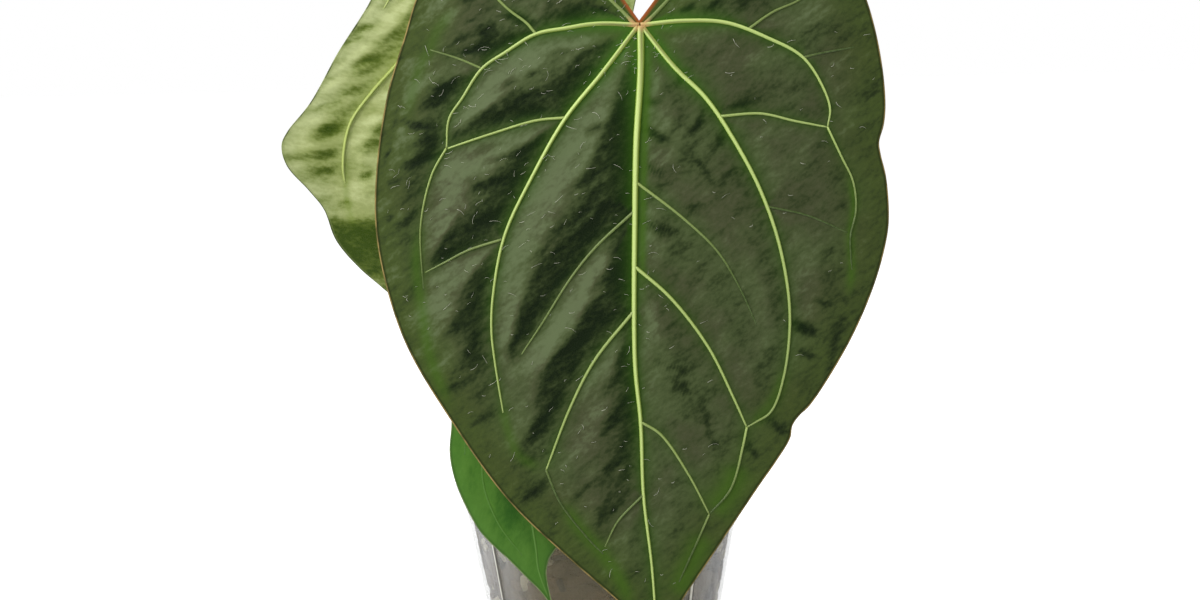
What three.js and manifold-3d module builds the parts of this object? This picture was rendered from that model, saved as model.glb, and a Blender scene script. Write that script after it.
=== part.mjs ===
// Potted anthurium hybrid: a clear tapered pot, a chunky medium, a short stem with thick roots,
// and three heart-shaped leaves on stalks, each with its own net of raised veins.
// Millimetres, +Z up, the origin on the ground under the middle of the pot.
import * as THREE from "three";
import { mergeVertices } from "three/addons/utils/BufferGeometryUtils.js";
import Module from "manifold-3d";

const wasm = await Module();
wasm.setup();

// Driving dimensions of what touches, and of the pot
const touchGap = 0.3;
const roundSides = 48;
const pot = {
  height: 112,
  footRadius: 39.3,
  neckRadius: 57.8,
  rimRadius: 59.3,
  rimHeight: 5,
  wall: 1.2,
  floor: 2,
  edgeRadius: 1.5,
  ribTurns: [-139.5, -49.5, 40.5, 130.5],
  ribWidth: 1.8,
  ribDepth: 1.6,
  ribMargin: 4,
  drainHoles: 8,
  drainRadius: 4,
  drainCircle: 26,
};

// Driving dimensions of the medium, and of the stem with its roots and sheaths
const medium = { top: 97, rings: 8, chunks: 90, chunkRadius: 9, chunkRise: 0.5, seed: 11 };
const stem = { bottom: 58, top: 113, foot: 4.5, waist: 7.5, radius: 9, crown: 6.8, sockets: 7 };
const roots = {
  count: 6,
  radius: 1.9,
  sides: 5,
  steps: 6,
  firstTurn: 0.4,
  start: 3,
  reach: 33,
  shorter: 3,
  top: 90,
  stagger: 4,
  drop: 66,
  curl: 0.9,
};
const sheaths = {
  length: 30,
  thickness: 0.9,
  innerRadius: 3.4,
  halfSlit: 0.95,
  slant: 58,
  sunk: 6,
  segments: 7,
  turns: { front: 100, young: 20 },
};

// Driving dimensions of the stalks and of the knee at the top of each
const stalk = { radius: 2.3, sides: 8, steps: 18, kneeRadius: 3.1, kneeLength: 15, kneeSteps: 4 };

// Each leaf lies in its own plane: x across the blade, y up from the stalk's end, z to the front.
// Margins run from the notch over the lobe to the tip; veins list points, then both end widths.
const bladeThickness = 0.8;
const lean = 80;
const panelRise = 1.2;
const panelReach = 12;
const foldCurve = 0.014;
const foldedEnd = (past, turning) =>
  past < turning
    ? foldCurve * Math.max(0, past) ** 2
    : foldCurve * turning * (2 * past - turning);
const frontLeaf = {
  name: "front",
  attach: [16.9, -64.9, 292.6],
  turn: -1.3,
  hub: [0, -30],
  spokes: 60,
  rings: 9,
  stalkSide: -1,
  stalkStandOff: 0.5,
  veinStep: 7,
  veinRise: [0.35, 0.3],
  colour: 0x2c4127,
  veinColour: 0xb4cf6e,
  stalkColour: 0x6f8f3f,
  bend: (x, y) => -7 * (x / 90) ** 2 - 7 * ((y + 90) / 125) ** 2,
  left: [
    [0, 0], [-5.1, 7.4], [-11.5, 18], [-18, 33], [-30, 46], [-47, 46.5], [-62, 37], [-72, 24],
    [-78.7, 8.5], [-82.7, -5.1], [-88.5, -24.9], [-92.2, -50], [-92.6, -70.9], [-89.3, -90.6],
    [-81.5, -113.5], [-65.6, -140.1], [-45.6, -167.8], [-22.8, -189.6], [-8.4, -202.3],
    [3, -214], [6.5, -220.5],
  ],
  right: [
    [0, 0], [5.4, 7.4], [12.5, 18], [19, 33], [31, 46], [48, 47], [63, 38], [73.5, 25],
    [80.5, 8.5], [84.9, -9.3], [86.8, -26.9], [86.2, -35.5], [84.4, -42], [84.9, -46],
    [86.8, -54], [87.8, -66], [87.3, -74.1], [83, -90.6], [74.1, -111.3], [59.9, -134.1],
    [56, -137.9], [53.6, -141.4], [52.9, -145.6], [47.6, -154.4], [42.7, -161.4],
    [25.6, -187.1], [15.5, -202.4], [9.5, -213], [6.5, -220.5],
  ],
  veins: [
    { path: [[0.5, -2], [0.5, -17.5], [-1, -42.5], [-1.5, -66.5], [-1.5, -119], [0.5, -140.5],
      [1.5, -165.5], [4.5, -191], [6.2, -214]], widths: [3, 0.9] },
    { path: [[0, -1.5], [-14.5, -1], [-25.5, -2.5], [-36, -4.5], [-47, -11], [-55, -16.5],
      [-62, -27], [-66.5, -34], [-67.5, -44.5]], widths: [2, 0.9] },
    { path: [[-36, -4.5], [-40, 0], [-46.5, 5], [-52.5, 12], [-56, 22]], widths: [1.3, 0.8] },
    { path: [[-55, -16.5], [-63, -13], [-73.5, -9.5]], widths: [1, 0.7] },
    { path: [[-67.5, -44.5], [-72.5, -53.5], [-76.5, -71.5], [-75.5, -94]], widths: [1, 0.7] },
    { path: [[-0.5, -2], [-13, -18.5], [-25.5, -34], [-37.5, -55], [-47, -75.5], [-51, -96.5],
      [-51.5, -108.5], [-50.5, -118], [-47.5, -137]], widths: [2, 0.8] },
    { path: [[-25.5, -34], [-36, -35], [-51.5, -39.5], [-67, -44.5]], widths: [1.2, 0.9] },
    { path: [[-48, -76.5], [-59, -80], [-68, -84.5], [-75, -88]], widths: [1.1, 0.7] },
    { path: [[-1.5, -66.5], [-14.5, -78.5], [-23.5, -89.5], [-34, -106], [-41, -116.5]],
      widths: [1.2, 0.7] },
    { path: [[-1.5, -101], [-15.5, -118.5], [-24, -135], [-32.5, -157]], widths: [1.4, 0.9] },
    { path: [[-32.5, -157], [-27.5, -168.5], [-17, -182], [-12.5, -186.5]], widths: [1, 0.7] },
    { path: [[1.5, -165.5], [-7.5, -175], [-12, -184]], widths: [1, 0.7] },
    { path: [[0.5, -1.5], [15, 0], [30.5, -0.5], [44.5, -5.5], [57.5, -12.5], [65, -24],
      [67, -31], [66, -37]], widths: [2, 0.9] },
    { path: [[38.5, -2.5], [47, 3.5], [56.5, 8], [64, 14]], widths: [1.2, 0.7] },
    { path: [[57.5, -12.5], [63.5, -11], [76, -8.5]], widths: [1, 0.7] },
    { path: [[1, -2], [12, -16], [23.5, -27.5], [34, -43.5], [42.5, -60], [49, -79],
      [52.5, -102], [50.5, -124], [46, -136.5], [41, -140], [37.5, -142]], widths: [2.1, 0.9] },
    { path: [[28.5, -33.5], [42.5, -32.5], [54.5, -35], [66, -37]], widths: [1.2, 0.9] },
    { path: [[66, -37], [71, -47.5], [75, -56], [76, -66], [74, -75.5], [74.5, -87]],
      widths: [1, 0.7] },
    { path: [[44.5, -65], [58.5, -68], [73, -74]], widths: [1, 0.7] },
    { path: [[-1.3, -56.5], [15, -69], [27, -80.5], [34.5, -92.5], [41, -106.5]],
      widths: [1.2, 0.7] },
    { path: [[-1.5, -86], [11, -97], [24, -114], [33, -132], [37.5, -142]], widths: [1.5, 1] },
    { path: [[37.5, -142], [36.5, -147], [32, -163.5], [24.5, -172.5]], widths: [1.1, 0.8] },
    { path: [[0.5, -140], [7.5, -144.5], [17.5, -159], [24.5, -172.5]], widths: [1.2, 0.8] },
    { path: [[24.5, -172.5], [19.5, -184], [14, -196.5]], widths: [0.9, 0.7] },
    { path: [[-1, -2], [-5, 2.5], [-11, 8.5], [-19, 17.5], [-28, 32]], widths: [1.6, 0.8] },
    { path: [[1, -2], [5.5, 2.5], [11, 8.5], [19, 17.5], [29, 33]], widths: [1.6, 0.8] },
  ],
};
const backLeaf = {
  name: "back",
  attach: [-29.1, 57.9, 326.4],
  turn: -21.2,
  hub: [0, -30],
  spokes: 48,
  rings: 7,
  stalkSide: 1,
  stalkStandOff: 2.4,
  veinStep: 8,
  veinRise: [0.4, 0.4],
  colour: 0x93a565,
  veinColour: 0xa9bb5a,
  stalkColour: 0x7d9a48,
  bend: (x, y) => 6 * (x / 65) ** 2 - 0.22 * x - foldedEnd(-y - 105, 40),
  left: [
    [0, 0], [-5, 7], [-9, 19], [-17, 31], [-28, 34], [-38, 27], [-44, 10], [-46, -15],
    [-47.5, -46.5], [-52.5, -71.5], [-56, -95], [-60.5, -109.5], [-61, -115.5], [-57, -122.5],
    [-46.2, -129.1], [-39, -134.3], [-31.7, -145.2], [-20.2, -153.1], [-9.9, -157.7],
    [-2, -161.5], [9, -171],
  ],
  right: [
    [0, 0], [5, 7], [11, 18], [21, 30], [33, 33], [44, 25], [51, 9], [54, -8], [57, -40],
    [56, -70], [50, -96], [41, -118], [31, -136], [21, -152], [14, -162], [9, -171],
  ],
  veins: [
    { path: [[0, -2], [0, -30], [-1, -70], [-1, -110], [0, -135], [3, -152], [7, -165]],
      widths: [2.6, 1] },
    { path: [[0, -2], [-13, -22], [-23, -45], [-30, -68], [-35, -81.5], [-39, -97.5],
      [-36.5, -113.5], [-30, -126], [-22.5, -137]], widths: [1.9, 0.9] },
    { path: [[0, -2], [14, -20], [26, -42], [34, -68], [36, -92], [31, -114], [21, -133]],
      widths: [1.9, 0.9] },
    { path: [[0, -2], [-16, -4], [-31, -16], [-39, -34], [-43, -56]], widths: [1.6, 0.9] },
    { path: [[0, -2], [17, -3], [34, -12], [44, -29], [48, -50]], widths: [1.6, 0.9] },
    { path: [[0, -2], [-9, 6], [-19, 17], [-27, 24]], widths: [1.4, 0.8] },
    { path: [[0, -2], [10, 6], [21, 16], [31, 23]], widths: [1.4, 0.8] },
    { path: [[-1, -70], [-14, -86], [-22, -104]], widths: [1.1, 0.8] },
    { path: [[-1, -78], [12, -92], [20, -112]], widths: [1.1, 0.8] },
  ],
};
const youngLeaf = {
  name: "young",
  attach: [-34.3, -66, 159.8],
  turn: 11.9,
  hub: [-6, -30],
  spokes: 40,
  rings: 5,
  stalkSide: -1,
  stalkStandOff: 0.5,
  veinStep: 7,
  veinRise: [0.3, 0.3],
  colour: 0x3c7a2a,
  veinColour: 0x6f9f43,
  stalkColour: 0x7a9f45,
  bend: (x, y) => -4 * (x / 24) ** 2 - 3 * ((y + 35) / 45) ** 2,
  left: [
    [0, 0], [-4, 5], [-9, 10], [-15, 10.5], [-19.5, 4], [-21.5, -6], [-24.5, -16], [-25, -23.5],
    [-24, -32.5], [-20, -46.5], [-12, -59], [-8, -65.5], [-4, -72], [-2.2, -76], [-0.3, -81],
  ],
  right: [
    [0, 0], [4, 5], [9, 10], [15, 10], [20, 3], [23.5, -8], [24, -22], [21.5, -36], [15.5, -48],
    [8.5, -56], [4.5, -59], [2, -61.5], [0, -66], [-0.5, -70.5], [-0.6, -76], [-0.3, -81],
  ],
  veins: [
    { path: [[0, -1], [0, -20], [-0.5, -40], [-1.5, -56], [-2.5, -64], [-1.6, -75]],
      widths: [1.6, 0.7] },
    { path: [[0, -1], [-9, -13], [-14.5, -27], [-13, -44], [-7, -58]], widths: [1.1, 0.7] },
    { path: [[0, -1], [9, -13], [14.5, -26], [12.5, -42], [5, -53]], widths: [1.1, 0.7] },
    { path: [[0, -1], [-8, -2], [-16, -9], [-19, -18]], widths: [1, 0.7] },
    { path: [[0, -1], [8, -2], [16, -8], [19, -17]], widths: [1, 0.7] },
  ],
};

// Where each stalk leaves the stem, and the points that it passes on its way up
const stalkRoutes = {
  front: [[3, -4, stem.top - stem.sockets], [4, -7, 150], [8, -20, 215], [14, -42, 265]],
  back: [[-3, 4, stem.top - stem.sockets], [-5, 8, 160], [-11, 17, 235], [-20, 26, 290]],
  young: [[-4, -2.5, stem.top - stem.sockets], [-10, -12, 132], [-22, -35, 153]],
};

// Even pseudo-random numbers from 0 to 1, the same on every run
function seededRandom(seed) {
  let state = seed;
  return () => {
    state = (state * 1664525 + 1013904223) % 4294967296;
    return state / 4294967296;
  };
}

function radians(degrees) {
  return (degrees * Math.PI) / 180;
}

// A closed geometry as a solid that can be joined and cut
function solid(geometry) {
  const bare = geometry.clone();
  bare.deleteAttribute("normal");
  bare.deleteAttribute("uv");
  const merged = mergeVertices(bare, 1e-4);
  return new wasm.Manifold(
    new wasm.Mesh({
      numProp: 3,
      vertProperties: merged.attributes.position.array,
      triVerts: new Uint32Array(merged.index.array),
    }),
  );
}

function geometryOf(body) {
  const mesh = body.getMesh();
  const geometry = new THREE.BufferGeometry();
  geometry.setAttribute("position", new THREE.BufferAttribute(mesh.vertProperties, 3));
  geometry.setIndex(new THREE.BufferAttribute(mesh.triVerts, 1));
  geometry.computeVertexNormals();
  return geometry;
}

function indexedGeometry(points, triangles) {
  const geometry = new THREE.BufferGeometry().setFromPoints(points);
  geometry.setIndex(triangles);
  geometry.computeVertexNormals();
  return geometry;
}

function standardMaterial(color, roughness, extra = {}) {
  return new THREE.MeshStandardMaterial({ color, roughness, metalness: 0, ...extra });
}

function namedMesh(name, geometry, material) {
  const mesh = new THREE.Mesh(geometry, material);
  mesh.name = name;
  return mesh;
}

// A body turned about +Z from a profile of [radius, height] that starts and ends on the axis
function turned(profile, sides = roundSides) {
  const points = profile.map(([radius, height]) => new THREE.Vector2(radius, height));
  return new THREE.LatheGeometry(points, sides).rotateX(Math.PI / 2);
}

function smoothCurve(points) {
  return new THREE.CatmullRomCurve3(points, false, "centripetal");
}

// A round bar along a curve
function bar(curve, radius, sides, steps) {
  const section = new THREE.Shape();
  for (let side = 0; side < sides; side += 1) {
    const angle = (side / sides) * 2 * Math.PI;
    const place = [radius * Math.cos(angle), radius * Math.sin(angle)];
    if (side === 0) section.moveTo(...place);
    else section.lineTo(...place);
  }
  return new THREE.ExtrudeGeometry(section, { steps, extrudePath: curve });
}

// A closed body through equal rings of points, with a flat end at both sides
function loft(rings) {
  const size = rings[0].length;
  const triangles = [];
  for (let ring = 0; ring + 1 < rings.length; ring += 1) {
    for (let corner = 0; corner < size; corner += 1) {
      const near = ring * size + corner;
      const beside = ring * size + ((corner + 1) % size);
      triangles.push(near, beside, near + size, beside, beside + size, near + size);
    }
  }
  const last = (rings.length - 1) * size;
  for (let corner = 1; corner + 1 < size; corner += 1) {
    triangles.push(0, corner + 1, corner);
    triangles.push(last, last + corner, last + corner + 1);
  }
  return indexedGeometry(rings.flat(), triangles);
}

// The pot's wall, with its inner face at the given height
function innerRadius(height) {
  const taper = (pot.neckRadius - pot.footRadius) / (pot.height - pot.rimHeight);
  return pot.footRadius + taper * height - pot.wall;
}

function potBody() {
  const underRim = pot.height - pot.rimHeight;
  const mouth = innerRadius(underRim);
  const body = solid(
    turned([
      [0, 0],
      [pot.footRadius - pot.edgeRadius, 0],
      [pot.footRadius, pot.edgeRadius],
      [pot.neckRadius, underRim],
      [pot.rimRadius, underRim + 0.6],
      [pot.rimRadius, pot.height - 1],
      [pot.rimRadius - 0.8, pot.height],
      [mouth + 1, pot.height],
      [mouth + 0.3, pot.height - 0.8],
      [mouth, underRim],
      [innerRadius(pot.floor) + 0.1, pot.floor + 1],
      [innerRadius(pot.floor) - 1, pot.floor],
      [0, pot.floor],
    ]),
  );
  const drains = [];
  for (let hole = 0; hole < pot.drainHoles; hole += 1) {
    const angle = ((hole + 0.5) / pot.drainHoles) * 2 * Math.PI;
    const cutter = new THREE.CylinderGeometry(pot.drainRadius, pot.drainRadius, 4 * pot.floor, 12);
    cutter.rotateX(Math.PI / 2);
    cutter.translate(pot.drainCircle * Math.cos(angle), pot.drainCircle * Math.sin(angle), 0);
    drains.push(solid(cutter));
  }
  const drained = drains.reduce((whole, cutter) => whole.subtract(cutter), body);
  return pot.ribTurns.map(potRib).reduce((whole, rib) => whole.add(rib), drained);
}

// One upright rib, half sunk in the pot's wall
function potRib(turn) {
  const underRim = pot.height - pot.rimHeight;
  const slant = Math.atan2(pot.neckRadius - pot.footRadius, underRim);
  const length = (underRim - 2 * pot.ribMargin) / Math.cos(slant);
  const rib = new THREE.BoxGeometry(pot.ribDepth, pot.ribWidth, length);
  rib.rotateY(slant);
  rib.translate((pot.footRadius + pot.neckRadius) / 2, 0, underRim / 2);
  rib.rotateZ(radians(turn));
  return solid(rib);
}

// The medium fills the pot, with domed chunks over its top and plain holes for stem and roots
function mediumBody() {
  const random = seededRandom(medium.seed);
  const bottom = pot.floor + touchGap;
  const brim = innerRadius(medium.top) - 2 * touchGap;
  const floorRadius = innerRadius(bottom) - 4 * touchGap;
  const chunks = [];
  for (let chunk = 0; chunk < medium.chunks; chunk += 1) {
    const angle = random() * 2 * Math.PI;
    const reach = brim * Math.sqrt(random());
    const centre = new THREE.Vector2(reach * Math.cos(angle), reach * Math.sin(angle));
    chunks.push({ centre, radius: medium.chunkRadius * (0.6 + 0.6 * random()) });
  }
  const rise = (x, y) => {
    const domes = chunks.map(({ centre, radius }) => {
      const share = Math.hypot(x - centre.x, y - centre.y) / radius;
      return share < 1 ? Math.sqrt(1 - share * share) * medium.chunkRise * radius : 0;
    });
    return Math.max(...domes) - (medium.chunkRise * medium.chunkRadius) / 2;
  };
  const profile = [
    [0, bottom],
    [floorRadius - 1, bottom],
    [floorRadius, bottom + 2],
  ];
  for (let ring = medium.rings; ring >= 0; ring -= 1) {
    profile.push([(brim * ring) / medium.rings, medium.top]);
  }
  const heap = turned(profile);
  const place = heap.getAttribute("position");
  for (let point = 0; point < place.count; point += 1) {
    const x = place.getX(point);
    const y = place.getY(point);
    const onTop = place.getZ(point) > medium.top - 1;
    if (onTop && Math.hypot(x, y) < brim - 1) place.setZ(point, medium.top + rise(x, y));
  }
  return solid(heap).subtract(stemCore(touchGap)).subtract(rootBundle(touchGap));
}

function stemCore(grow = 0) {
  return solid(
    turned(
      [
        [0, stem.bottom - grow],
        [stem.foot + grow, stem.bottom - grow],
        [stem.waist + grow, stem.bottom + stem.waist],
        [stem.radius + grow, (stem.bottom + stem.top) / 2],
        [stem.waist + grow, medium.top],
        [stem.radius + grow, stem.top - stem.sockets],
        [stem.crown + grow, stem.top + grow],
        [0, stem.top + 1 + grow],
      ],
      16,
    ),
  );
}

// Thick roots that leave the stem under the surface and wander down and outwards
function rootBundle(grow = 0) {
  const stops = 4;
  const bundle = [];
  for (let root = 0; root < roots.count; root += 1) {
    const odd = root % 2;
    const firstTurn = (root / roots.count) * 2 * Math.PI + roots.firstTurn;
    const points = [];
    for (let stop = 0; stop <= stops; stop += 1) {
      const share = stop / stops;
      const spread = (roots.reach - roots.shorter * odd) * Math.sin((share * Math.PI) / 2);
      const turn = firstTurn + roots.curl * share * share * (odd ? 1 : -1);
      const height = roots.top - roots.stagger * (root % 3) - roots.drop * share * share;
      const reach = roots.start + spread;
      points.push(new THREE.Vector3(reach * Math.cos(turn), reach * Math.sin(turn), height));
    }
    bundle.push(solid(bar(smoothCurve(points), roots.radius + grow, roots.sides, roots.steps)));
  }
  return bundle.reduce((whole, root) => whole.add(root));
}

// A papery sheath beside a stalk's foot: a slit tube, cut off aslant at its top
function sheath([x, y], turn) {
  const { innerRadius, halfSlit, length, segments } = sheaths;
  const outer = innerRadius + sheaths.thickness;
  const section = new THREE.Shape();
  section.absarc(0, 0, outer, halfSlit, 2 * Math.PI - halfSlit, false);
  section.absarc(0, 0, innerRadius, 2 * Math.PI - halfSlit, halfSlit, true);
  const tube = new THREE.ExtrudeGeometry(section, {
    depth: length,
    bevelEnabled: false,
    curveSegments: segments,
  });
  const cutter = new THREE.BoxGeometry(4 * outer, 4 * outer, length);
  cutter.rotateY(radians(sheaths.slant));
  cutter.translate(2 * outer, 0, length);
  const cut = geometryOf(solid(tube).subtract(solid(cutter)));
  cut.rotateZ(radians(turn));
  cut.translate(x, y, stem.top - sheaths.sunk);
  return solid(cut);
}

// Stem, roots and sheaths grown together, with a socket for each stalk
function stemBody() {
  let body = stemCore().add(rootBundle());
  for (const [name, turn] of Object.entries(sheaths.turns)) {
    const [foot] = stalkRoutes[name];
    body = body.add(sheath(foot, turn));
  }
  for (const leaf of [frontLeaf, backLeaf, youngLeaf]) {
    body = body.subtract(stalkBody(leaf, touchGap));
  }
  return body;
}

// Distance from a point to the nearest vein, measured along straight stretches between its points
function veinDistance(leaf, x, y) {
  let nearest = Infinity;
  for (const { path } of leaf.veins) {
    for (let stretch = 1; stretch < path.length; stretch += 1) {
      const [fromX, fromY] = path[stretch - 1];
      const [toX, toY] = path[stretch];
      const lengthSquared = (toX - fromX) ** 2 + (toY - fromY) ** 2;
      const along = ((x - fromX) * (toX - fromX) + (y - fromY) * (toY - fromY)) / lengthSquared;
      const share = Math.min(1, Math.max(0, along));
      const apart = Math.hypot(
        x - fromX - share * (toX - fromX),
        y - fromY - share * (toY - fromY),
      );
      nearest = Math.min(nearest, apart);
    }
  }
  return nearest;
}

// Height of the blade's middle surface: the leaf's bend, and panels that rise between the veins
function bladeHeight(leaf, x, y) {
  const share = veinDistance(leaf, x, y) / panelReach;
  return leaf.bend(x, y) - leaf.bend(0, 0) + panelRise * (1 - Math.exp(-share * share));
}

// A point on one face of the blade, a given distance from its middle surface
function bladePoint(leaf, x, y, offset) {
  const probe = 1;
  const slopeX = bladeHeight(leaf, x + probe, y) - bladeHeight(leaf, x - probe, y);
  const slopeY = bladeHeight(leaf, x, y + probe) - bladeHeight(leaf, x, y - probe);
  const normal = new THREE.Vector3(-slopeX, -slopeY, 2 * probe).normalize();
  return new THREE.Vector3(x, y, bladeHeight(leaf, x, y)).addScaledVector(normal, offset);
}

// Evenly spaced points round the margin, from the notch down one side and up the other
function marginPoints(leaf) {
  const half = leaf.spokes / 2;
  const side = (points) =>
    smoothCurve(points.map(([x, y]) => new THREE.Vector3(x, y, 0))).getSpacedPoints(half);
  const down = side(leaf.left);
  const up = side(leaf.right).reverse();
  return [...down.slice(0, half), ...up.slice(0, half)];
}

// The blade: rings round a hub on the midrib, split into triangles alike on both faces
function bladeGeometry(leaf) {
  const margin = marginPoints(leaf);
  const hub = new THREE.Vector3(...leaf.hub, 0);
  const { spokes, rings } = leaf;
  const faceSize = 1 + rings * spokes;
  const points = [];
  for (const face of [1, -1]) {
    points.push(bladePoint(leaf, hub.x, hub.y, (face * bladeThickness) / 2));
    for (let ring = 1; ring <= rings; ring += 1) {
      for (const end of margin) {
        const flat = hub.clone().lerp(end, ring / rings);
        points.push(bladePoint(leaf, flat.x, flat.y, (face * bladeThickness) / 2));
      }
    }
  }
  const triangles = [];
  const both = (a, b, c) => {
    triangles.push(a, b, c, a + faceSize, c + faceSize, b + faceSize);
  };
  const at = (ring, spoke) => 1 + (ring - 1) * spokes + (spoke % spokes);
  for (let spoke = 0; spoke < spokes; spoke += 1) {
    both(0, at(1, spoke), at(1, spoke + 1));
    for (let ring = 1; ring < rings; ring += 1) {
      both(at(ring, spoke), at(ring + 1, spoke), at(ring + 1, spoke + 1));
      both(at(ring, spoke), at(ring + 1, spoke + 1), at(ring, spoke + 1));
    }
    const edge = at(rings, spoke);
    const next = at(rings, spoke + 1);
    triangles.push(edge, edge + faceSize, next, next, edge + faceSize, next + faceSize);
  }
  return indexedGeometry(points, triangles);
}

// The net of veins: low ridges that lie on the blade's front face and taper towards their ends
function veinNet(leaf, blade) {
  const target = new THREE.Mesh(blade);
  const caster = new THREE.Raycaster();
  const downwards = new THREE.Vector3(0, 0, -1);
  const above = 200;
  const onBlade = (flat, rise) => {
    caster.set(new THREE.Vector3(flat.x, flat.y, above), downwards);
    const [hit] = caster.intersectObject(target);
    return hit.point.clone().addScaledVector(hit.face.normal, rise);
  };
  const [riseShare, riseBase] = leaf.veinRise;
  const ridges = leaf.veins.map(({ path, widths }) => {
    const curve = smoothCurve(path.map(([x, y]) => new THREE.Vector3(x, y, 0)));
    const steps = Math.max(2, Math.round(curve.getLength() / leaf.veinStep));
    const rings = [];
    for (let step = 0; step <= steps; step += 1) {
      const centre = curve.getPointAt(step / steps);
      const along = curve.getTangentAt(step / steps);
      const width = THREE.MathUtils.lerp(widths[0], widths[1], step / steps);
      const across = new THREE.Vector3(-along.y, along.x, 0).multiplyScalar(width / 2);
      rings.push([
        onBlade(centre.clone().sub(across), touchGap),
        onBlade(centre.clone().add(across), touchGap),
        onBlade(centre, touchGap + riseBase + riseShare * width),
      ]);
    }
    return solid(loft(rings));
  });
  const net = ridges.reduce((whole, ridge) => whole.add(ridge));
  return net.subtract(solid(blade.clone().translate(0, 0, touchGap / 2)));
}

// The stalk's centre line, which meets the blade square to its surface
function stalkCurve(leaf) {
  const foot = bladePoint(leaf, 0, -5, 0);
  const tip = bladePoint(leaf, 0, -5, leaf.stalkSide);
  const outward = tip.sub(foot);
  const place = leafPlace(leaf);
  const onRoute = (distance) =>
    foot.clone().addScaledVector(outward, distance).applyMatrix4(place);
  const route = stalkRoutes[leaf.name].map((point) => new THREE.Vector3(...point));
  const end = bladeThickness / 2 + leaf.stalkStandOff;
  return smoothCurve([...route, onRoute(end + 9), onRoute(end)]);
}

function stalkBody(leaf, grow = 0) {
  const curve = stalkCurve(leaf);
  const shaft = bar(curve, stalk.radius + grow, stalk.sides, stalk.steps);
  const kneePoints = [];
  const start = 1 - stalk.kneeLength / curve.getLength();
  for (let stop = 0; stop <= stalk.kneeSteps; stop += 1) {
    kneePoints.push(curve.getPointAt(THREE.MathUtils.lerp(start, 1, stop / stalk.kneeSteps)));
  }
  const knee = bar(smoothCurve(kneePoints), stalk.kneeRadius, stalk.sides, stalk.kneeSteps);
  return solid(shaft).add(solid(knee));
}

function leafPlace(leaf) {
  const turn = new THREE.Euler(radians(lean), 0, radians(leaf.turn));
  return new THREE.Matrix4()
    .makeRotationFromEuler(turn)
    .setPosition(new THREE.Vector3(...leaf.attach));
}

// A leaf's blade and veins, in a group that is set at the end of its stalk
function leafGroup(leaf) {
  const held = new THREE.Group();
  held.position.set(...leaf.attach);
  held.rotation.set(radians(lean), 0, radians(leaf.turn));
  const blade = bladeGeometry(leaf);
  held.add(
    namedMesh(`leaf_${leaf.name}`, blade, standardMaterial(leaf.colour, 0.6)),
    namedMesh(
      `veins_${leaf.name}`,
      geometryOf(veinNet(leaf, blade)),
      standardMaterial(leaf.veinColour, 0.5),
    ),
  );
  return held;
}

const group = new THREE.Group();
group.add(
  namedMesh(
    "pot",
    geometryOf(potBody()),
    standardMaterial(0xd9dcda, 0.25, { transparent: true, opacity: 0.4 }),
  ),
  namedMesh("growing_medium", geometryOf(mediumBody()), standardMaterial(0x6b5c4c, 0.9)),
  namedMesh("stem_and_roots", geometryOf(stemBody()), standardMaterial(0x8a7a55, 0.8)),
);
for (const leaf of [frontLeaf, backLeaf, youngLeaf]) {
  group.add(
    namedMesh(
      `stalk_${leaf.name}`,
      geometryOf(stalkBody(leaf)),
      standardMaterial(leaf.stalkColour, 0.5),
    ),
    leafGroup(leaf),
  );
}

export default group;
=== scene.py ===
import math
import random

import bmesh
import bpy
import numpy as np
from mathutils import Matrix, Vector, kdtree, noise


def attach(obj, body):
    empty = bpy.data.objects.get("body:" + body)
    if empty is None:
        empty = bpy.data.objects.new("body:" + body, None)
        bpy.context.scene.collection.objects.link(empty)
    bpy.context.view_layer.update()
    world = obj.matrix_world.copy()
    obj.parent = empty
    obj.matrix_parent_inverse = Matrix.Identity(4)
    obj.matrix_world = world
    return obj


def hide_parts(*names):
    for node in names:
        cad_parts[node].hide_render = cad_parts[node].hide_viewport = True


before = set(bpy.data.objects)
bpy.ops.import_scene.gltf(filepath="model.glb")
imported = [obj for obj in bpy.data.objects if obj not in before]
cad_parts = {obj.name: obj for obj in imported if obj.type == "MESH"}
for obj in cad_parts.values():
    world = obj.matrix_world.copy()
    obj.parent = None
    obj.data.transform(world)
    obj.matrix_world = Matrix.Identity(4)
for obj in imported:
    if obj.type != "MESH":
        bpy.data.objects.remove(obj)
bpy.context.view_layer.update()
scene = bpy.context.scene
mm = 0.001


# Curves

def smoothCurve(points, perSpan=24):
    # a centripetal Catmull-Rom curve through the points
    given = np.array(points, float)
    ends = np.vstack([2 * given[0] - given[1], given, 2 * given[-1] - given[-2]])
    spans = []
    for span in range(len(given) - 1):
        p0, p1, p2, p3 = ends[span : span + 4]
        t1 = np.linalg.norm(p1 - p0) ** 0.5
        t2 = t1 + np.linalg.norm(p2 - p1) ** 0.5
        t3 = t2 + np.linalg.norm(p3 - p2) ** 0.5
        t = np.linspace(t1, t2, perSpan, endpoint=False)[:, None]
        a1 = ((t1 - t) * p0 + t * p1) / t1
        a2 = ((t2 - t) * p1 + (t - t1) * p2) / (t2 - t1)
        a3 = ((t3 - t) * p2 + (t - t2) * p3) / (t3 - t2)
        b1 = ((t2 - t) * a1 + t * a2) / t2
        b2 = ((t3 - t) * a2 + (t - t1) * a3) / (t3 - t1)
        spans.append(((t2 - t) * b1 + (t - t1) * b2) / (t2 - t1))
    return np.vstack([*spans, given[-1:]])


def lengths(curve):
    steps = np.linalg.norm(np.diff(curve, axis=0), axis=1)
    return np.concatenate([[0], np.cumsum(steps)])


def alongCurve(curve, shares):
    # points at the given shares of the curve's length
    travelled = lengths(curve)
    wanted = np.asarray(shares) * travelled[-1]
    return np.stack([np.interp(wanted, travelled, axis) for axis in curve.T], axis=-1)


def smoothStep(low, high, value):
    share = np.clip((value - low) / (high - low), 0, 1)
    return share * share * (3 - 2 * share)


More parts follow.
